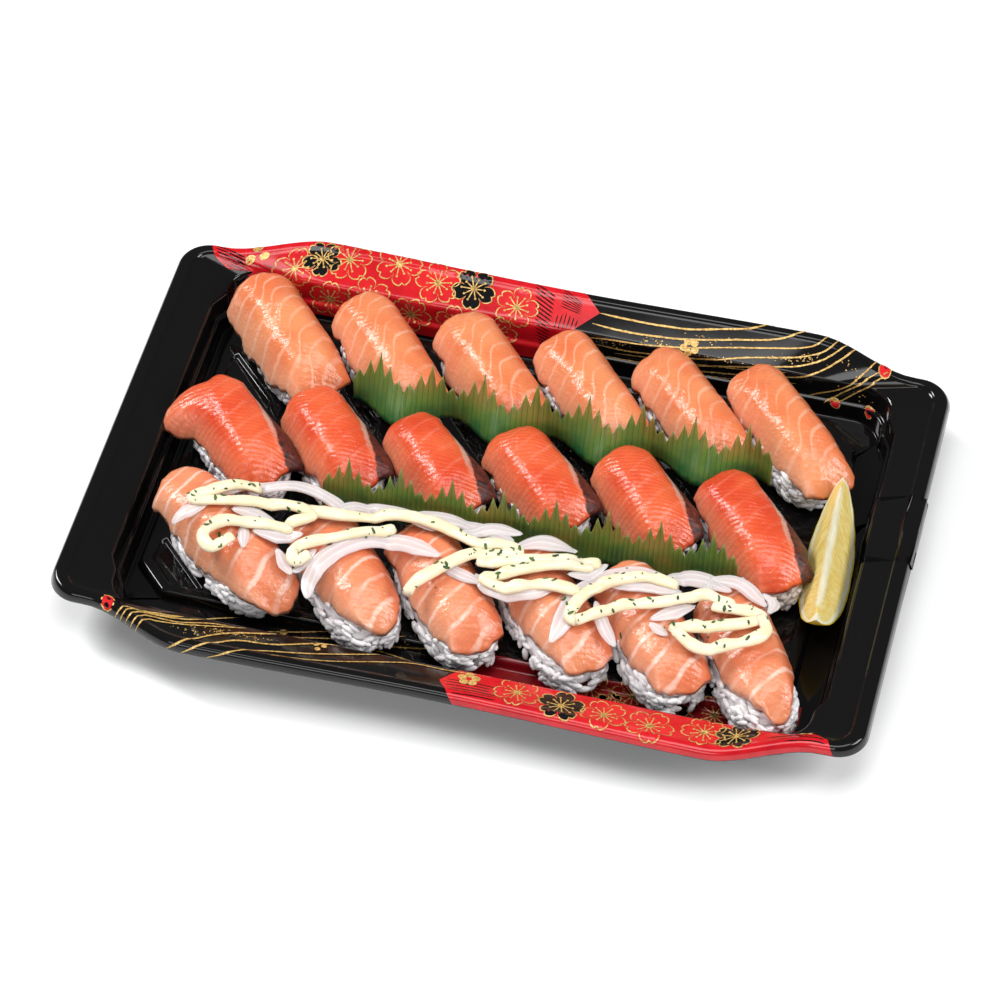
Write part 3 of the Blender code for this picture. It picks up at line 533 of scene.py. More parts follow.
def tray_rings():
    """Levels of the sheet from the skirt to the floor of the well, with their edges rounded."""
    end, side = TRAY_LENGTH / 2, STRAIGHT_WIDTH / 2
    lip_end, lip_side, skirt = end - LIP_AT_ENDS, side - LIP_AT_SIDES, SKIRT_FLARE + LIP_ROUND
    levels = [
        ring((end, side), RIM_CORNER, RIM_HEIGHT - SKIRT_DROP, True),
        ring((end - SKIRT_FLARE, side - SKIRT_FLARE), RIM_CORNER, RIM_HEIGHT - LIP_ROUND, True),
        ring((end - skirt, side - skirt), RIM_CORNER - LIP_ROUND, RIM_HEIGHT, True),
        ring((lip_end, lip_side), LIP_CORNER, RIM_HEIGHT, True),
        ring((lip_end - LIP_ROUND, lip_side - LIP_ROUND), LIP_CORNER - LIP_ROUND,
             RIM_HEIGHT - LIP_ROUND, True)]
    for (half_x, half_y), corner, height in (
            (CREASE_HALF, WELL_CORNER, RIM_HEIGHT - CREASE_DROP), (LEDGE_HALF, WELL_CORNER, LEDGE_HEIGHT),
            ((LEDGE_HALF[0] - LEDGE_WIDTH, LEDGE_HALF[1] - LEDGE_WIDTH), WELL_CORNER,
             LEDGE_HEIGHT - LEDGE_STEP),
            (FOOT_HALF, WELL_CORNER, SHEET),
            ((FOOT_HALF[0] - FLOOR_EDGE, FOOT_HALF[1] - FLOOR_EDGE), WELL_CORNER - FLOOR_EDGE_CORNER,
             SHEET)):
        levels.append(ring((half_x, half_y), corner, height, False, CORNER_JOG))
    rings = [levels[0]]
    for before, here, after, radius in zip(levels, levels[1:], levels[2:], LEVEL_ROUNDS):
        back = (before - here) * np.minimum(radius / np.linalg.norm(before - here, axis=1), 0.45)[:, None]
        on = (after - here) * np.minimum(radius / np.linalg.norm(after - here, axis=1), 0.45)[:, None]
        rings += [here + back * (1 - t) ** 2 + on * t ** 2 for t in (0.0, 0.33, 0.67, 1.0)]
    return rings + levels[-1:]


def plateau_outline(inset):
    low_x, high_x = PLATEAU_X[0] + inset, PLATEAU_X[1] - inset
    low_y, high_y = PLATEAU_Y[0] + inset, PLATEAU_Y[1] - inset
    cut = PLATEAU_CORNER - inset * (2.0 - math.sqrt(2.0))
    return [(high_x, low_y + cut), (high_x, high_y - cut), (high_x - cut, high_y), (low_x + cut, high_y),
            (low_x, high_y - cut), (low_x, low_y + cut), (low_x + cut, low_y), (high_x - cut, low_y)]


def clip(polygon, window):
    """Keep the part of a convex polygon that lies inside a convex window."""
    for start, end in zip(window, window[1:] + window[:1]):
        kept = []
        side = [(end[0] - start[0]) * (p[1] - start[1]) - (end[1] - start[1]) * (p[0] - start[0])
                for p in polygon]
        for i, point in enumerate(polygon):
            if (side[i - 1] < 0) != (side[i] < 0):
                t = side[i - 1] / (side[i - 1] - side[i])
                last = polygon[i - 1]
                kept.append((last[0] + t * (point[0] - last[0]), last[1] + t * (point[1] - last[1])))
            if side[i] >= 0:
                kept.append(point)
        polygon = kept
        if len(polygon) < 3:
            return []
    return polygon


def shrink(polygon, amount):
    """Move the sides of a convex polygon inwards by the amount."""
    moved = []
    for last, here, following in zip(polygon[-1:] + polygon[:-1], polygon, polygon[1:] + polygon[:1]):
        before = (Vector(here) - Vector(last)).normalized()
        after = (Vector(following) - Vector(here)).normalized()
        inwards = Vector((-before.y - after.y, before.x + after.x)).normalized()
        reach = amount / max(inwards.dot(Vector((-before.y, before.x))), 0.3)
        moved.append(tuple(Vector(here) + inwards * reach))
    return moved


def floor_cells():
    """Six-sided cells of the raised floor, cut off at its border."""
    cells = []
    for row in range(-2, 2):
        for column in range(7):
            x = CELL_ORIGIN[0] + column * CELL_PITCH[0] + (CELL_PITCH[0] / 2 if row % 2 else 0.0)
            y = CELL_ORIGIN[1] + row * CELL_PITCH[1]
            corners = [(1, -1, 0), (1, 1, 0), (0, 1, 1), (-1, 1, 0), (-1, -1, 0), (0, -1, -1)]
            cell = [(x + i * CELL_HALF_WIDTH, y + j * CELL_HALF_SIDE + k * CELL_HALF_WIDTH) for i, j,
                    k in corners]
            cell = clip(cell, plateau_outline(CELL_BORDER))
            size = 0.5 * sum(a[0] * b[1] - b[0] * a[1] for a, b in zip(cell, cell[1:] + cell[:1]))
            if size > CELL_MIN_AREA:
                cells.append(cell)
    return cells


def lay_outline(sheet, points):
    """Move the selected outline of the sheet to the points, each corner by its own number."""
    shape = bmesh.from_edit_mesh(sheet.data)
    number = shape.verts.layers.int["corner"]
    for corner in shape.verts:
        if corner.select:
            corner.co = points[corner[number]]
    bmesh.update_edit_mesh(sheet.data)


def begin_outline(sheet, points):
    bpy.ops.mesh.primitive_circle_add(vertices=len(points))
    shape = bmesh.from_edit_mesh(sheet.data)
    number = shape.verts.layers.int["corner"]
    for i, corner in enumerate(v for v in shape.verts if v.select):
        corner[number] = i
    lay_outline(sheet, points)


def carry_outline(sheet, points):
    bpy.ops.mesh.extrude_region_move()
    lay_outline(sheet, points)


def fill_level(sheet, height):
    """Fill the flat area between the open outlines at one height."""
    bpy.ops.mesh.select_all(action="DESELECT")
    shape = bmesh.from_edit_mesh(sheet.data)
    for edge in shape.edges:
        if len(edge.link_faces) == 1 and all(abs(v.co.z - height) < 1e-6 for v in edge.verts):
            edge.select_set(True)
    bmesh.update_edit_mesh(sheet.data)
    bpy.ops.mesh.fill()


def follow(ring_points, outline):
    """Where each point of a ring falls on an outline, as a side and a share of it; every corner is met."""
    plan = ring_points[:, :2]
    corners = [int(np.argmin(np.hypot(*(plan - corner).T))) for corner in outline]
    spots = [None] * len(plan)
    for side, (start, end) in enumerate(zip(corners, corners[1:] + corners[:1])):
        run = [(start + i) % len(plan) for i in range((end - start) % len(plan) + 1)]
        covered = np.concatenate([[0.0], np.cumsum(np.hypot(*np.diff(plan[run], axis=0).T))])
        for spot, share in zip(run[:-1], covered / covered[-1]):
            spots[spot] = (side, share)
    return spots


def at_height(outline, height):
    return [Vector((x, y, height)) for x, y in outline]


def make_tray(material):
    """The formed sheet; also gives the surface that the print lies on."""
    bpy.ops.object.select_all(action="DESELECT")
    bpy.ops.mesh.primitive_circle_add(vertices=3)
    sheet = bpy.context.object
    sheet.data.attributes.new("corner", "INT", "POINT")
    bpy.ops.object.mode_set(mode="EDIT")
    bpy.ops.mesh.delete(type="VERT")
    rings = tray_rings()
    begin_outline(sheet, rings[0])
    for points in rings[1:]:
        carry_outline(sheet, points)
    spots = follow(rings[-1], plateau_outline(0.0))
    for inset, height in FLANK:
        outline = at_height(plateau_outline(inset), height)
        following = outline[1:] + outline[:1]
        carry_outline(sheet, [outline[side].lerp(following[side], share) for side, share in spots])
    for cell in floor_cells():
        begin_outline(sheet, at_height(shrink(cell, CELL_RIM), PLATEAU_TOP))
        for inset, drop in CELL_FLANK:
            carry_outline(sheet, at_height(shrink(cell, inset), PLATEAU_TOP - drop * CELL_DEPTH))
        bpy.ops.mesh.edge_face_add()
    bpy.ops.mesh.select_all(action="SELECT")
    bpy.ops.mesh.remove_doubles(threshold=MERGE)
    fill_level(sheet, PLATEAU_TOP)
    bpy.ops.mesh.select_all(action="SELECT")
    bpy.ops.mesh.normals_make_consistent(inside=False)
    bpy.ops.object.mode_set(mode="OBJECT")
    if sum(p.normal.z * p.area for p in sheet.data.polygons) < 0:
        sheet.data.flip_normals()
    bpy.ops.object.shade_smooth_by_angle(angle=math.radians(50))
    surface = bmesh.new()
    surface.from_mesh(sheet.data)
    tree = BVHTree.FromBMesh(surface)
    surface.free()
    apply_modifier(sheet, "SOLIDIFY", thickness=SHEET, offset=-1.0)
    apply_modifier(sheet, "WEIGHTED_NORMAL", keep_sharp=True)
    hand_over(sheet, "tray_sheet", ["tray"], material)
    return tree


# The print on the long sides: shapes drawn on the flat sheet, x along it and s in from its edge.

def side_profile(x):
    """The sheet's section at x, from the skirt's foot to the raised floor: distances out and heights."""
    out = side_bulge(x) + STRAIGHT_WIDTH / 2
    return [(out, RIM_HEIGHT - SKIRT_DROP), (out - SKIRT_FLARE, RIM_HEIGHT - LIP_ROUND),
            (out - SKIRT_FLARE - LIP_ROUND, RIM_HEIGHT),
            (out - LIP_AT_SIDES, RIM_HEIGHT), (out - LIP_AT_SIDES - LIP_ROUND, RIM_HEIGHT - LIP_ROUND),
            (CREASE_HALF[1], RIM_HEIGHT - CREASE_DROP), (LEDGE_HALF[1], LEDGE_HEIGHT),
            (LEDGE_HALF[1] - LEDGE_WIDTH, LEDGE_HEIGHT - LEDGE_STEP), (FOOT_HALF[1], SHEET),
            (-PLATEAU_Y[0] + PLATEAU_SLOPE, SHEET), (-PLATEAU_Y[0], PLATEAU_TOP),
            (SECTION_END, PLATEAU_TOP)]


def on_side(side, x, s):
    """A point of the sheet's side, s in from the lip's edge; below zero it is on the skirt."""
    corners = side_profile(x)
    s += math.dist(corners[0], corners[1])
    for (y0, z0), (y1, z1) in zip(corners, corners[1:]):
        length = math.hypot(y1 - y0, z1 - z0)
        if s <= length:
            break
        s -= length
    share = min(s / length, 1.0)
    return Vector((x, side * (y0 + (y1 - y0) * share), z0 + (z1 - z0) * share))


def bent_grid(columns, rows, place):
    """A grid whose two shares, each from 0 to 1, are placed in x and s, in millimetres."""
    patch = add_grid(columns, rows)
    put_points(patch, [(*place((x + 1) / 2, (y + 1) / 2), 0.0) for x, y, _ in read_points(patch)])
    return patch


def stroke(points, width, ragged=0.0, seed=0.0):
    """A printed line along points in x and s, tapering at both ends."""
    path = smooth_path([Vector(p) for p in points], 1.2)
    count = len(path) - 1

    def place(share, across):
        at = share * count
        i = min(int(at), count - 1)
        here, ahead = path[i], path[i + 1]
        middle = here.lerp(ahead, at - i)
        along = (path[min(i + 2, count)] - path[max(i - 1, 0)]).normalized()
        half = 0.5 * width * min(1.0, 8.0 * share + 0.25, 8.0 * (1.0 - share) + 0.25)
        half *= 1.0 + ragged * rough(middle.x * 1.1, middle.y, seed + across * 3.0, 1.0)
        return middle.x - along.y * half * (2 * across - 1), middle.y + along.x * half * (2 * across - 1)
    return bent_grid(count, 1, place)


def petal_reach(angle, petals=5):
    """Distance of a blossom's edge from its middle: round petals, each with a small notch."""
    turn = (angle * petals / math.tau) % 1.0
    lobe = math.sin(math.pi * turn) ** 0.42
    notch = math.exp(-((turn - 0.5) / 0.055) ** 2)
    return 0.50 + 0.50 * lobe - 0.13 * notch


def blossom(x, s, radius, turn, layers):
    """Petals, gold edge and gold centre of one blossom, each put on its own layer."""
    def at(share, reach):
        angle = share * math.tau + turn
        return x + reach * math.cos(angle), s + reach * math.sin(angle)

    def petal(share, across):
        return at(share, radius * petal_reach(share * math.tau) * across)

    def edge(share, across):
        return at(share, radius * petal_reach(share * math.tau) + 0.26 * (2 * across - 1))
    layers["petal"].append(bent_grid(100, 6, petal))
    layers["gold"].append(bent_grid(100, 1, edge))
    blossom_centre(x, s, radius * 0.56, turn, layers["gold"], 10)


def blossom_centre(x, s, reach, turn, gold, filaments):
    gold.append(disc(x, s, reach * 0.26))
    for i in range(filaments):
        angle = turn + math.tau * (i + 0.5) / filaments
        length = reach * (1.0 if i % 2 else 0.86)
        tip = (x + length * math.cos(angle), s + length * math.sin(angle))
        gold.append(stroke([(x, s), tip], 0.42))
        gold.append(disc(*tip, 0.44))


def blossoms(rows):
    for row in rows:
        blossom(*row)


def draw_lines(gold, ragged, seed_step, lines):
    """Wave lines, each with its width and its points."""
    for i, (width, line) in enumerate(lines):
        gold.append(stroke(line, width, ragged, seed_step * i))


def disc(x, s, radius, squash=1.0):
    def place(share, across):
        reach, angle = radius * across, share * math.tau
        return x + reach * math.cos(angle), s + squash * reach * math.sin(angle)
    return bent_grid(10, 1, place)


def little_flower(x, s, radius, gold, petals=5):
    for i in range(petals):
        angle = math.tau * i / petals + 0.4
        px, ps = x + radius * 0.62 * math.cos(angle), s + radius * 0.62 * math.sin(angle)
        gold.append(disc(px, ps, radius * 0.40))


def dust(x, s, spread_x, spread_s, count, gold, rng):
    for _ in range(count):
        gold.append(disc(x + rng.gauss(0, spread_x), s + rng.gauss(0, spread_s), rng.uniform(0.10, 0.30)))


def lay_print(name, pieces, side, lift, surface, material):
    """Join shapes into one skin and lay it on the tray's side."""
    skin = join(pieces)
    placed = []
    for x, s, _ in read_points(skin):
        point = on_side(side, x / 1000, max(s, FIELD_FOOT) / 1000)
        spot, normal, _, _ = surface.find_nearest(point)
        placed.append(spot + normal * lift)
    put_points(skin, placed)
    edit_all(skin)
    bpy.ops.mesh.remove_doubles(threshold=MERGE)
    bpy.ops.object.mode_set(mode="OBJECT")
    outward = 0.0
    for polygon in skin.data.polygons[:200]:
        outward += polygon.normal.dot(surface.find_nearest(polygon.center)[1])
    if outward < 0:
        skin.data.flip_normals()
    bpy.ops.object.shade_smooth()
    hand_over(skin, name, [], material)


def field(x0, x1, s0, s1, step=1.1):
    """A field of colour between four edges; x0 and x1 give each end's x for an s."""
    def place(share, across):
        s = s0 + (s1 - s0) * across
        return x0(s) + (x1(s) - x0(s)) * share, s
    columns = int((x1(s0) - x0(s0)) / step) + 1
    return bent_grid(max(columns, 4), max(int((s1 - s0) / 0.8), 2), place)


def make_far_print(surface, finishes, rng):
    left = lambda s: -135.0 + 0.46 * s
    right = lambda s: 3.0 + 9.4 * max(0.0, 1.0 - abs(s - 8.2) / 9.5)
    red = [field(left, right, FIELD_FOOT, 33.4)]
    layers = {"petal": [], "gold": []}
    black = {"petal": [], "gold": layers["gold"]}
    blossoms([
        (-102.5, 12.6, 8.4, 0.3, layers), (-93.4, 8.6, 7.4, 0.9, black), (-83.4, 7.0, 8.6, 0.2, layers),
        (-64.8, 4.8, 8.8, 0.6, layers), (-49.0, 9.0, 8.6, 0.1, layers), (-35.4, 8.4, 8.4, 0.9, black),
        (-18.2, 12.2, 8.2, 0.5, layers), (-88.0, 25.0, 8.0, 0.4, layers), (-73.0, 20.5, 8.4, 0.0, layers),
        (-57.0, 24.5, 7.8, 0.8, layers), (-40.0, 24.0, 7.6, 0.2, layers), (-24.0, 24.5, 7.6, 0.7, layers),
        (-106.0, 27.0, 7.6, 0.1, layers)])
    hatch = []
    for i in range(13):
        s = 1.0 + 1.35 * i
        line = [(left(s) + 1.2, s), (left(s) + 7.5, s + 1.6), (left(s) + 13.5 - 0.25 * i, s + 4.4)]
        hatch.append(stroke(line, 0.5, 0.3, i))
    for i in range(15):
        line = [(-13.5 + 0.35 * i, 1.0 + 1.75 * i), (-5.0 + 0.1 * i, 5.2 + 1.6 * i)]
        hatch.append(stroke(line, 0.55, 0.2, i))
    for i in range(6):
        line = [(-2.6 + 1.5 * i, 10.5 + 0.6 * abs(i - 2)), (-2.9 + 1.5 * i, 18.5 - 0.6 * i)]
        hatch.append(stroke(line, 0.4, 0.2, i))
    for i in range(7):
        hatch.append(stroke([(-2.5, 1.6 + 1.1 * i), (5.5, 5.8 + 0.7 * i)], 0.35, 0.3, i))
    gold = layers["gold"]
    little_flower(-117.0, 4.6, 4.4, gold, 3)
    draw_lines(gold, 0.55, 10.0, [
        (0.75, [(12.4, 8.2), (21.6, 8.7), (33.5, 9.0), (45.8, 8.5), (57.6, 6.3), (69.2, 3.5),
                (78.0, LINE_FOOT)]),
        (0.75, [(10.5, 12.7), (21.0, 13.6), (33.9, 13.5), (46.8, 12.5), (64.5, 9.3), (79.0, 6.1),
                (92.0, LINE_FOOT)]),
        (0.60, [(8.0, 18.7), (18.0, 17.8), (28.8, 17.5), (45.0, 16.1), (59.1, 13.5), (80.0, 9.8),
                (87.9, 8.0), (93.0, 5.3), (98.0, LINE_FOOT)]),
        (0.62, [(12.8, 21.1), (27.0, 21.6), (54.0, 19.1), (69.0, 15.7), (83.0, 13.0), (90.0, 11.0),
                (96.2, 7.3), (102.0, LINE_FOOT)]),
        (0.62, [(17.2, 26.1), (35.0, 26.0), (53.0, 22.6), (63.5, 20.5), (80.0, 17.3), (89.2, 15.0),
                (97.0, 10.1), (106.0, LINE_FOOT)]),
        (0.62, [(40.0, 27.5), (54.5, 25.2), (66.0, 23.8), (85.0, 20.7), (94.0, 17.2), (101.2, 9.9),
                (109.0, LINE_FOOT)]),
        (0.5, [(93.0, 27.7), (103.0, 20.2), (110.8, 10.0), (117.0, LINE_FOOT)]),
        (0.5, [(99.0, 28.4), (107.2, 17.4), (117.0, 4.8)]),
        (0.5, [(104.0, 25.7), (111.5, 15.0), (117.1, 7.9), (119.8, 5.1)]),
        (0.5, [(118.6, 5.0), (122.0, 0.8)]), (0.35, [(20.0, 23.8), (60.0, 21.6), (84.0, 18.8)]),
        (0.3, [(55.0, 27.2), (70.0, 25.8), (88.0, 23.0)])])
    for x, s, spread, count in ((36, 15.6, 4, 30), (52, 11, 4, 20), (84, 14, 4, 26), (92, 12, 3, 24),
                                (108, 9, 3, 16), (20, 19.5, 5, 24), (60, 18, 5, 16), (112, 18, 3, 12)):
        dust(x, s, spread, 0.9, count, gold, rng)
    little_flower(47.5, 15.4, 3.6, gold, 5)
    petals = [disc(119.0, 3.0, 2.1, 1.3), disc(116.2, 22.0, 1.8, 1.3), disc(103.0, 26.4, 1.7, 1.2)]
    gold += [disc(119.0, 3.0, 2.5, 1.3), disc(116.2, 22.0, 2.2, 1.3), disc(103.0, 26.4, 2.1, 1.2)]
    for name, pieces, lift, look in (
            ("far_red", red, FIELD_LIFT, "red"),
            ("far_hatch", hatch, HATCH_LIFT, "print black"),
            ("far_petals", layers["petal"], PETAL_LIFT, "petal red"),
            ("far_black_petals", black["petal"], BLACK_LIFT, "print black"),
            ("far_gold", gold, GOLD_LIFT, "gold"),
            ("far_small_petals", petals, TOP_LIFT, "petal red")):
        lay_print(name, pieces, 1, lift, surface, finishes[look])


def make_near_print(surface, finishes, rng):
    left = lambda s: -2.0 + 0.62 * abs(s - 8.5)
    right = lambda s: 133.5 - 0.46 * s
    red = [field(left, right, FIELD_FOOT, 17.6)]
    # On the channel floor the print is laid in shadow red: a darker red painted as the shade under the near
    # wall.
    floor_left = lambda s: 8.0 - 0.9 * (s - 34.0)
    floor_right = lambda s: 119.5 - 0.05 * (s - 34.0)
    floor_red = [field(floor_left, floor_right, 34.8, 52.0)]
    layers = {"petal": [], "gold": []}
    black = {"petal": [], "gold": layers["gold"]}
    blossoms([
        (25.0, 10.5, 8.2, 0.3, layers), (41.0, 8.5, 8.4, 0.9, black), (56.0, 8.6, 8.2, 0.2, layers),
        (72.0, 8.0, 8.6, 0.5, layers), (90.5, 10.8, 8.0, 0.1, layers), (101.5, 9.6, 7.6, 0.8, black)])
    # The floor's blossoms have their petals in shadow red, as painted shade.
    dark = {"petal": [], "gold": []}
    dark_black = {"petal": [], "gold": dark["gold"]}
    blossoms([
        (46.0, 47.0, 7.6, 0.4, dark), (61.0, 47.5, 7.8, 0.0, dark), (54.0, 41.0, 6.0, 0.7, dark),
        (74.0, 44.5, 7.4, 0.9, dark_black), (90.0, 46.5, 8.4, 0.3, dark), (110.0, 41.5, 7.4, 0.6, dark)])
    hatch = [stroke([(left(s) + 1.5, s), (left(s) + 10.0, s + 0.6), (left(s) + 17.0 + i % 3, s + 0.6)],
                    0.45, 0.3, i) for i, s in enumerate((2.0, 3.6, 5.2, 6.8, 8.4, 10.0))]
    for i, s in enumerate((1.6, 3.4, 5.4, 7.4, 9.4, 11.4, 13.2)):
        line = [(right(s) - 15.0 - 2 * (i % 3), s + 0.8), (right(s) - 6.0, s + 0.5), (right(s) - 1.5, s)]
        hatch.append(stroke(line, 0.5, 0.3, i))
    gold = layers["gold"]
    little_flower(7.5, 12.4, 4.0, gold)
    little_flower(124.5, 14.0, 3.4, gold)
    draw_lines(gold, 0.55, 7.0, [
        (0.55, [(-117.6, LINE_FOOT), (-115.2, 4.2), (-113.0, 6.0), (-106.0, 9.5), (-96.0, 15.0)]),
        (0.55, [(-115.5, LINE_FOOT), (-113.2, 5.0), (-110.0, 7.5), (-103.0, 12.0), (-95.0, 16.0)]),
        (0.55, [(-113.4, LINE_FOOT), (-111.0, 5.2), (-107.5, 8.2), (-100.0, 12.2), (-88.0, 17.4)]),
        (0.55, [(-111.2, LINE_FOOT), (-108.6, 5.4), (-104.5, 8.6), (-97.0, 11.6), (-86.0, 15.6),
                (-78.0, 16.4)]),
        (0.55, [(-109.0, LINE_FOOT), (-106.5, 5.0), (-103.0, 7.4), (-94.8, 11.4), (-84.0, 14.4),
                (-73.0, 17.0)]),
        (0.80, [(-96.5, LINE_FOOT), (-88.0, 5.0), (-81.0, 10.4), (-74.0, 13.6), (-62.0, 17.0)]),
        (0.80, [(-91.0, LINE_FOOT), (-79.0, 6.0), (-73.0, 9.2), (-61.0, 10.6), (-48.0, 15.6),
                (-40.0, 17.4)]),
        (0.60, [(-82.0, LINE_FOOT), (-66.0, 5.0), (-50.0, 8.6), (-36.0, 12.8), (-25.0, 16.6)]),
        (0.50, [(-60.0, 3.4), (-40.0, 7.0), (-24.0, 12.0), (-13.0, 15.0), (-1.0, 15.0), (10.0, 16.0)])])
    for x, s, spread, count in ((-78, 12, 5, 60), (-90, 9, 4, 30), (-70, 13, 4, 30), (-100, 12, 3, 12)):
        dust(x, s, spread, 0.9, count, gold, rng)
    little_flower(-46.0, 14.4, 2.6, gold, 3)
    floor_gold = dark["gold"]
    draw_lines(floor_gold, 0.5, 5.0, [
        (0.45, [(-114.0, 34.6), (-109.0, 36.6), (-101.0, 39.6), (-92.0, 43.6), (-81.0, 47.2)]),
        (0.45, [(-72.0, 42.6), (-66.0, 44.2), (-56.0, 46.4), (-40.0, 51.5)]),
        (0.55, [(-66.0, 42.4), (-58.0, 43.4), (-41.0, 46.5), (-30.0, 46.4), (-18.0, 48.2), (-6.0, 50.4),
                (8.0, 52.0)]),
        (0.50, [(-52.0, 41.4), (-40.0, 43.4), (-29.0, 43.8), (-16.0, 42.0), (-4.0, 41.6), (6.0, 42.4)]),
        (0.40, [(-40.0, 49.0), (-30.0, 50.2), (-21.0, 52.4)]),
        (0.35, [(-30.0, 38.0), (-14.0, 39.0), (0.0, 38.0)])])
    dust(-26.0, 48.0, 4.0, 0.8, 40, floor_gold, rng)
    floor_gold += [disc(-64.0, 44.5, 1.5, 0.8), disc(4.5, 49.6, 1.9, 0.8)]
    tip = [disc(-121.4, 2.0, 2.1, 1.5)]
    gold.append(disc(-121.4, 2.0, 2.6, 1.5))
    for name, pieces, lift, look in (
            ("near_red", red, FIELD_LIFT, "red"),
            ("near_floor_red", floor_red, FIELD_LIFT, "shadow red"),
            ("near_hatch", hatch, HATCH_LIFT, "print black"),
            ("near_petals", layers["petal"], PETAL_LIFT, "petal red"),
            ("near_floor_petals", dark["petal"], PETAL_LIFT, "shadow red"),
            ("near_black_petals", black["petal"] + dark_black["petal"], BLACK_LIFT, "print black"),
            ("near_gold", gold + floor_gold, GOLD_LIFT, "gold"),
            ("near_small_petal", tip, TOP_LIFT, "petal red")):
        lay_print(name, pieces, -1, lift, surface, finishes[look])


# The nigiri.

def saddle(u, v):
    """Height of a block of rice, u along it and v across it."""
    along = 1.0 - END_DROP[int(u > 0)] * abs(u / SADDLE_HALF[0]) ** 3
    across = 1.0 - SIDE_DROP * abs(v / SADDLE_HALF[1]) ** 3
    return RICE_HEIGHT * max(along, 0.1) * max(across, 0.1)


def placed(place, u, v, height):
    angle = math.radians(place[2])
    return (place[0] + u * math.sin(angle) + v * math.cos(angle),
            place[1] - u * math.cos(angle) + v * math.sin(angle), height)


def slice_point(place, s, t, top, row, seed):
    """A point of a slice and its pattern numbers: s along and t across, each from -1 to 1."""
    length, width, pointed = place[3:]
    seared = row == "mid"
    narrow = 1.0 - SLICE_TAPER * s - pointed * max(s, 0.0) ** POINT_POWER
    u = 0.5 * length * s * math.sqrt(1.0 - 0.5 * SLICE_ROUND * t * t)
    v = 0.5 * width * t * math.sqrt(1.0 - 0.5 * SLICE_ROUND * s * s) * narrow
    border = max(abs(s), abs(t))
    u += (0.0013 * rough(u, v, 0.0, 0.009, seed) + 0.0007 * rough(u, v, 0.0, 0.0035, seed)) * border ** 3
    v += (0.0012 * rough(u, v, 0.02, 0.008, seed + 5)
          + 0.0006 * rough(u, v, 0.0, 0.003, seed + 6)) * border ** 3
    height = FLOOR + saddle(u, v) + GAP
    if row == "far":
        across = 0.38 * v + 0.0042 * math.tanh((v + 0.0015) / 0.0022)
    else:
        across = 0.42 * v - 9.0 * v * abs(v)
    bend = u + across - 5.0 * u * u
    ripple = u - 0.45 * v - 22.0 * (v + 0.004) ** 2 + 0.0012 * rough(u, v, 0.0, 0.012, seed + 9)
    skin = t - 0.86 + 0.30 * smoothstep(-0.7, 1.0, s)
    if top:
        edge = border ** 4
        thickness = SLICE_THICKNESS + (SLICE_EDGE - SLICE_THICKNESS) * edge
        height += thickness
        height += 0.0010 * rough(u, v, 0.0, 0.014, seed + 2) + 0.0004 * rough(u, v, 0.0, 0.005, seed + 3)
        if seared:
            height += 0.00007 * math.sin(math.tau * ripple / RIB_PITCH) * (1.0 - edge)
            height += 0.0010 * smoothstep(0.4, 0.8, t) * (1.0 - edge)
        else:
            height += 0.00012 * math.sin(math.tau * bend / FAT_PITCH) * (1.0 - edge)
    elif seared:
        height -= 0.0035 * smoothstep(0.70, 1.0, t) * (1.0 - 0.6 * abs(s))
    if seared:
        v += 0.0026 * smoothstep(0.55, 1.0, t) * smoothstep(-0.8, 0.6, s)
    if row == "near":
        height += 0.0020 * smoothstep(0.45, 1.0, -t)
    if place is ROWS["mid"][0]:
        corner = smoothstep(0.30, 1.0, -t) * math.exp(-((s + 0.80) / 0.30) ** 2)
        u, v = u - 0.0015 * corner, v - 0.0085 * corner
    cut = (bend / FAT_PITCH + seed, ripple / RIB_PITCH + seed, t)
    return placed(place, u, v, height), cut, (0.5 + skin, 1.0 - smoothstep(-0.1, 0.9, s), 0.0)


def make_slice(row, number, place, material):
    piece = add_grid(*SLICE_GRID)
    apply_modifier(piece, "SOLIDIFY", thickness=1.0, offset=1.0)
    seed = 3.7 * number + {"far": 0.0, "mid": 31.0, "near": 62.0}[row]
    made = [slice_point(place, x, y, z > 0.5, row, seed) for x, y, z in read_points(piece)]
    put_points(piece, [point for point, _, _ in made])
    keep_cut(piece, [cut for _, cut, _ in made])
    keep_cut(piece, [skin for _, _, skin in made], "skin")
    turn_out(piece)
    name = f"{row}_{number}"
    hand_over(piece, f"salmon_{name}", [f"fish_{name}"],
              material)


def one_grain():
    """A grain of cooked rice, bent a little: its points and faces."""
    form, _, _ = add_form(7, 5)
    points = read_points(form)
    points = points[:, [2, 0, 1]] * GRAIN_HALF
    points[:, 1] += GRAIN_BEND * points[:, 0] ** 2
    faces = [tuple(face.vertices) for face in form.data.polygons]
    bpy.data.objects.remove(form, do_unlink=True)
    return points, faces


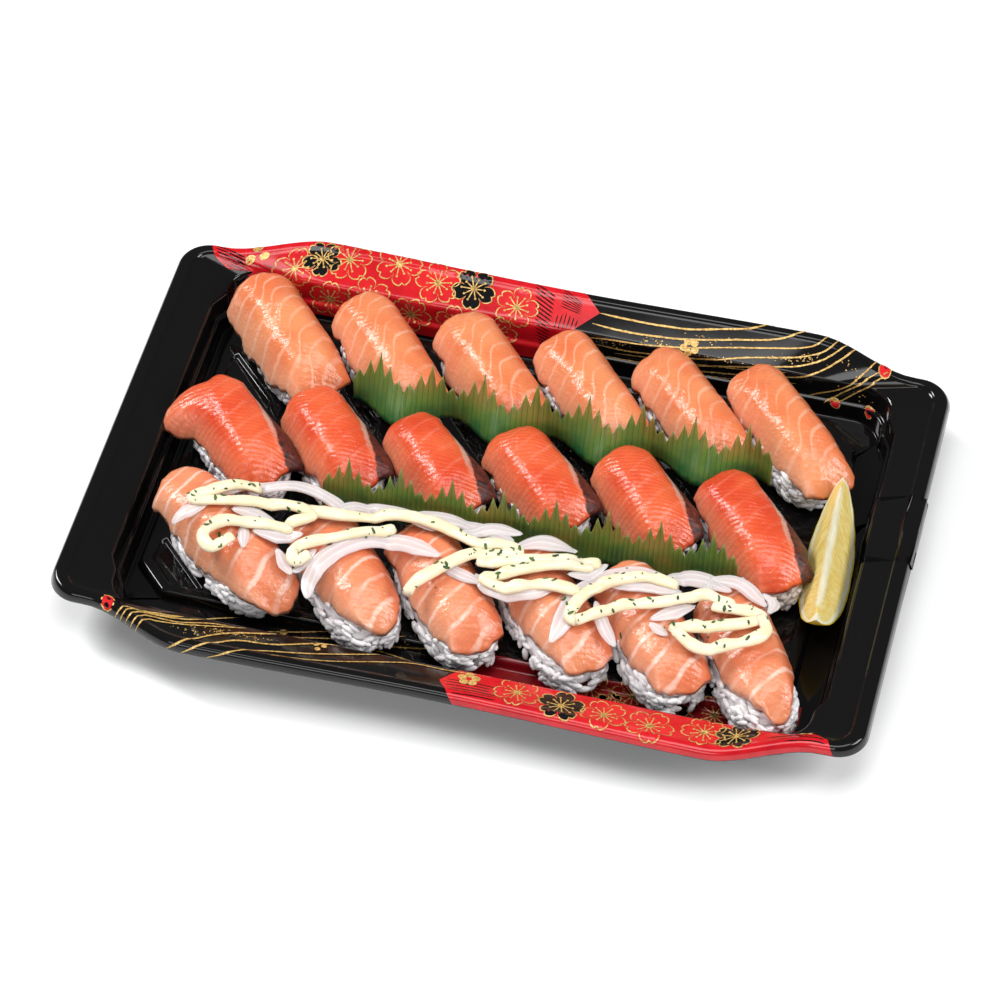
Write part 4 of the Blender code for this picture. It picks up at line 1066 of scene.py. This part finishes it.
def make_rice(row, number, place, grain_shape, material, rng):
    """A core of pressed rice with grains all over its sides and ends."""
    shorter = min(1.0, place[3] / FULL_SLICE)
    half_u, half_v = RICE_HALF[0] * shorter + GRAIN_OUT, RICE_HALF[1] + GRAIN_OUT
    form, _, _ = add_form(36, 18)
    shift = Vector(placed((0, 0, place[2]), *(RICE_SHIFT if row == "near" else RICE_SHIFT_BEHIND), 0.0))
    points = []
    for x, y, z in read_points(form):
        flat = math.hypot(x, y) or 1e-9
        c, s = x / flat, y / flat
        reach = min(1.0, (1.0 - abs(z) ** 5) ** 0.5) if abs(z) < 1 else 0.0
        u, v = half_u * powered(c, ROUNDNESS) * reach * 0.95, half_v * powered(s, ROUNDNESS) * reach * 0.92
        top = saddle(u, v) - CORE_DROP
        height = FLOOR + CORE_LIFT + (top - CORE_LIFT) * (0.5 + 0.5 * z)
        points.append(Vector(placed(place, u, v, height)) + shift)
    put_points(form, points)
    base, faces = grain_shape
    all_points, all_faces = [], []
    for i in range(SIDE_GRAINS + SHOULDER_GRAINS):
        around = math.tau * rng.random()
        c, s = math.cos(around), math.sin(around)
        u, v = half_u * powered(c, ROUNDNESS), half_v * powered(s, ROUNDNESS)
        if i < SIDE_GRAINS:
            height = rng.uniform(0.0012, max(saddle(u, v) - 0.0022, 0.004))
            out = 0.96 + 0.07 * rng.random() - (0.05 if height < 0.002 else 0.0)
        else:
            out = rng.uniform(0.72, 0.97)
            height = saddle(u * out, v * out) - rng.uniform(0.0010, 0.0022)
        centre = np.array(placed(place, u * out, v * out, FLOOR + height)) + shift
        heading = Vector((c * half_v, s * half_u, 0.0)).normalized()
        side_axis = Vector((-heading.y, heading.x, 0.0))
        tilt = rng.gauss(0.0, 0.55)
        axis = side_axis * math.cos(tilt) + Vector((0, 0, 1)) * math.sin(tilt)
        axis = (axis + heading * rng.uniform(-0.3, 0.3)).normalized()
        bulge = heading.cross(axis).normalized()
        local = np.array([placed((0, 0, place[2]), *w[:2], w[2]) for w in (axis, bulge, axis.cross(bulge))])
        size = rng.uniform(0.84, 1.04)
        grain_points = base @ local * size + centre
        grain_points[:, 2] = np.maximum(grain_points[:, 2], FLOOR - CORE_LIFT)
        all_faces += [tuple(k + len(base) * i for k in face) for face in faces]
        all_points.append(grain_points)
    mesh = bpy.data.meshes.new("grains")
    mesh.from_pydata(np.concatenate(all_points).tolist(), [], all_faces)
    grains = bpy.data.objects.new("grains", mesh)
    bpy.context.collection.objects.link(grains)
    piece = join([form, grains])
    turn_out(piece)
    hand_over(piece, f"rice_grains_{row}_{number}", [f"rice_{row}_{number}"], material)


# Dividers, lemon and topping.

def tooth_height(share, hills, tallest):
    """Height of a divider at a share of its length: pointed teeth in hills, each tooth slightly curved."""
    at = min(share, 0.999999) * hills * len(TEETH_PER_HILL)
    tooth = int(at)
    within = at - tooth
    of_hill = tooth % len(TEETH_PER_HILL)
    peak = TEETH_PER_HILL[of_hill]
    before = TEETH_PER_HILL[of_hill - 1] if of_hill else 0.0
    after = TEETH_PER_HILL[of_hill + 1] if of_hill + 1 < len(TEETH_PER_HILL) else 0.0
    notch = TOOTH_NOTCH * (min(before, peak) if within < 0.5 else min(after, peak))
    rise = (1.0 - abs(2.0 * within - 1.0)) ** 1.15
    return DIVIDER_VALLEY + (tallest - DIVIDER_VALLEY) * (notch + (peak - notch) * rise)


def make_divider(name, material):
    (x0, y0), (x1, y1), hills, tallest, lean, swing = DIVIDERS[name]
    along = Vector((x1 - x0, y1 - y0, 0.0))
    away = Vector((-along.y, along.x, 0.0)).normalized()
    up = Vector((0, 0, 1)) * math.cos(math.radians(lean)) + away * math.sin(math.radians(lean))
    piece = add_grid(hills * len(TEETH_PER_HILL) * 6, 9)
    points, cuts = [], []
    for x, y, _ in read_points(piece):
        share, rise = (x + 1) / 2, (y + 1) / 2
        height = tooth_height(share, hills, tallest)
        calm = 1 - rise * (1 - WAVE_AT_TIPS)
        wave = swing * math.cos(math.tau * share * along.length / WAVE_PITCH) * calm
        sag = 0.0009 * rough(share * 9.0, rise, 0.0, 1.0, len(name)) * rise
        foot = Vector((x0, y0, DIVIDER_BASE)) + along * share
        points.append(foot + up * height * rise + away * (wave + sag))
        cuts.append((share * hills * len(TEETH_PER_HILL) * 2.1, rise * height / tallest, 0.0))
    put_points(piece, points)
    keep_cut(piece, cuts)
    apply_modifier(piece, "SOLIDIFY", thickness=DIVIDER_THICKNESS, offset=0.0)
    turn_out(piece)
    hand_over(piece, name + "_film", [name], material)


def make_lemon(material):
    """A wedge with its core up: two cut faces with a raised edge of rind, and blunt tips of pith."""
    form, along, angle = add_form(48, 56)
    points, cuts = [], []
    for station, turn in zip(along, angle):
        s = LEMON_TIP * (2.0 * station - 1.0)
        radius = LEMON_RADIUS * (1.0 - abs(s) ** LEMON_BELLY) ** LEMON_POINT
        share = (turn % math.tau) / math.tau
        half = math.radians(LEMON_SECTOR) / 2
        if share < 0.25:
            reach, sweep = share / 0.25, half
        elif share < 0.75:
            reach, sweep = 1.0, half * (1.0 - (share - 0.25) / 0.25)
        else:
            reach, sweep = (1.0 - share) / 0.25, -half
        closing = 1.0 if 0.001 < station < 0.999 else 0.0
        wobble = 0.00035 * rough(s * 0.033, reach * 0.02, sweep, 0.004, 4.0) * (1.0 - reach * 0.4)
        r = radius * reach
        v, w = (r * math.sin(sweep) + wobble) * closing, -r * math.cos(sweep)
        if not closing:
            w = -0.5 * radius
        points.append(placed(LEMON_PLACE, 0.5 * LEMON_LENGTH * s, v, FLOOR + LEMON_RADIUS + GAP + w))
        tip = max(abs(s) - 0.80, 0.0) / 0.2
        cuts.append((min(max(reach, 0.92 * min(tip * 1.5, 1.0)), 1.0), sweep, s + 0.35 * reach * s))
    put_points(form, points)
    keep_cut(form, cuts)
    turn_out(form)
    bpy.ops.object.shade_smooth_by_angle(angle=math.radians(50))
    hand_over(form, "lemon_wedge", ["lemon"], material)


def drape(x, y):
    """The height on which the topping lies over the near row."""
    best = 0.0
    for place in ROWS["near"]:
        angle = math.radians(place[2])
        dx, dy = x - place[0], y - place[1]
        along = dx * math.sin(angle) - dy * math.cos(angle)
        u = max(abs(along) - DRAPE_REACH[0], 0.0)
        v = max(abs(dx * math.cos(angle) + dy * math.sin(angle)) - DRAPE_REACH[1], 0.0)
        fall = max(1.0 - DRAPE_END_DROP[int(along > 0)] * (u / SADDLE_HALF[0]) ** 3, DRAPE_LEAST[0])
        across = max(1.0 - DRAPE_SIDE_DROP * (v / SADDLE_HALF[1]) ** 3, DRAPE_LEAST[1])
        best = max(best, (RICE_HEIGHT + SLICE_THICKNESS) * fall * across)
    return FLOOR + DRAPE_LIFT + best


def smooth_path(points, step):
    """Points about a step apart on a Catmull-Rom curve through the plan points."""
    ends = [2 * points[0] - points[1]] + points + [2 * points[-1] - points[-2]]
    path = []
    for a, b, c, d in zip(ends, ends[1:], ends[2:], ends[3:]):
        count = max(1, round((c - b).length / step))
        for i in range(count):
            t = i / count
            path.append(0.5 * (2 * b + (c - a) * t + (2 * a - 5 * b + 4 * c - d) * t ** 2
                               + (3 * b - a - 3 * c + d) * t ** 3))
    return path + [points[-1]]


def make_ribbon(plan, width, height, lift, segments, seed, flat):
    """A ribbon draped over the near row along plan points in millimetres, with rounded ends."""
    path = smooth_path([Vector(p) / 1000 for p in plan], 0.001)
    count = len(path) - 1
    form, along, angle = add_form(segments, max(int(count * 0.8), 8))
    points, cuts = [], []
    for station, turn in zip(along, angle):
        share = 0.7 * station + 0.3 * (0.5 - 0.5 * math.cos(math.pi * station))
        at = share * count
        i = min(int(at), count - 1)
        middle = path[i].lerp(path[i + 1], at - i)
        tangent = (path[min(i + 3, count)] - path[max(i - 2, 0)]).normalized()
        across = Vector((-tangent.y, tangent.x))
        edge = min(share, 1 - share) * count * 0.001
        if flat:
            cap = min(1.0, edge / (1.3 * width)) ** 0.6
        else:
            cap = math.sqrt(max(1.0 - max(1.0 - edge / (0.5 * width), 0.0) ** 2, 0.0))
        uneven = rough(middle.x, middle.y, 0.0, 0.006, seed)
        uneven += 0.5 * rough(middle.x, middle.y, 0.0, 0.003, seed)
        swell = cap * (1.0 + (0.08 if flat else 0.26) * uneven)
        c, s = math.cos(turn), math.sin(turn)
        if flat:
            c, s = powered(c, 0.5), powered(s, 0.5)
        spot = middle + across * (0.5 * width * swell * c)
        ground = drape(spot.x, spot.y)
        if not flat:
            ground = 0.6 * ground + 0.4 * drape(middle.x, middle.y)
        curl = 0.0008 * c * c * swell if flat else 0.0
        body = 0.5 * height * (cap if flat else swell) * (1.0 + s)
        wave = 0.0006 * rough(middle.x, middle.y, 0.0, 0.011, seed + 4)
        points.append((spot.x, spot.y, ground + lift + body + wave - curl))
        cuts.append((share * count * 0.1, c + 0.2 * seed, s))
    put_points(form, points)
    keep_cut(form, cuts)
    return form


def make_topping(finishes, rng):
    onion = [make_ribbon(plan, ONION_WIDTH + ONION_WIDER * (i % 4), ONION_THICKNESS,
                         ONION_LIFT * (7 * i % len(ONION_SLICES)), 16, 2.3 * i, True)
             for i, plan in enumerate(ONION_SLICES)]
    onion = join(onion)
    turn_out(onion)
    hand_over(onion, "onion_slices", ["onion_and_dressing"], finishes["onion"])
    dressing = [make_ribbon(plan, DRESSING_WIDTH, DRESSING_HEIGHT, DRESSING_LIFT[0] + DRESSING_LIFT[1] * i,
                            20, 1.7 * i, False) for i, plan in enumerate(DRESSING_STROKES)]
    dressing = join(dressing)
    turn_out(dressing)
    hand_over(dressing, "dressing_strokes", ["onion_and_dressing"],
              finishes["dressing"])
    make_parsley([onion, dressing], finishes["parsley"], rng)


def make_parsley(under, material, rng):
    """Chopped leaves scattered on the dressing, each a small bent scrap."""
    surface = bmesh.new()
    for piece in under + [o for o in bpy.data.objects if o.name.startswith("salmon_near")]:
        surface.from_mesh(piece.data)
    tree = BVHTree.FromBMesh(surface)
    surface.free()
    scraps = []
    while len(scraps) < FLAKES:
        if rng.random() < 0.82:
            spot = rng.choice(smooth_path([Vector(p) / 1000 for p in rng.choice(DRESSING_STROKES)], 0.002))
            x, y = spot.x + rng.gauss(0, 0.0016), spot.y + rng.gauss(0, 0.0016)
        else:
            x, y = rng.uniform(-0.09, 0.10), rng.uniform(-0.066, -0.030)
        hit, normal, _, _ = tree.ray_cast(Vector((x, y, 0.06)), Vector((0, 0, -1)))
        if hit is None or normal.z < 0.3 or hit.z < 0.016:
            continue
        form, _, _ = add_form(6, 3)
        size = rng.choice(FLAKE_HALF) * 0.001
        turn = normal.to_track_quat("Z", "Y").to_matrix()
        spin = rng.uniform(0, math.tau)
        points = []
        for p in read_points(form):
            jag = 1.0 + 0.35 * rng.uniform(-1, 1)
            a, b = p[0] * size * jag * 1.3, p[1] * size * jag * 0.62
            c = p[2] * 0.00016 + 0.12 * a * a / size
            points.append(hit + turn @ Vector((a * math.cos(spin) - b * math.sin(spin),
                                               a * math.sin(spin) + b * math.cos(spin), c + 0.00012)))
        put_points(form, points)
        scraps.append(form)
    parsley = join(scraps)
    turn_out(parsley)
    hand_over(parsley, "chopped_parsley", ["onion_and_dressing"], material)


def main():
    rng = random.Random(11)
    light_and_camera()
    finishes = plain_finishes()
    surface = make_tray(finishes["tray"])
    make_far_print(surface, finishes, rng)
    make_near_print(surface, finishes, rng)
    pale = (0.80, 0.40, 0.25)
    plain = salmon_finish("plain salmon", (0.72, 0.250, 0.103), (0.68, 0.16, 0.055), pale,
                          (0.86, 0.52, 0.37), 0.42, 0.04)
    topped = salmon_finish("topped salmon", (0.73, 0.262, 0.128), (0.67, 0.16, 0.065), pale,
                           (0.90, 0.61, 0.50), 0.70, 0.04)
    seared = salmon_finish("seared salmon", (0.71, 0.118, 0.040), (0.60, 0.055, 0.017), (0.80, 0.30, 0.17),
                           (0.88, 0.42, 0.29), 0.14, 0.20, True)
    grain_shape = one_grain()
    for row, material in (("far", plain), ("mid", seared), ("near", topped)):
        for number, place in enumerate(ROWS[row], 1):
            make_rice(row, number, place, grain_shape, finishes["rice"], rng)
            make_slice(row, number, place, material)
    leaf = leaf_finish()
    for name in DIVIDERS:
        make_divider(name, leaf)
    make_lemon(lemon_finish())
    make_topping(finishes, rng)


main()
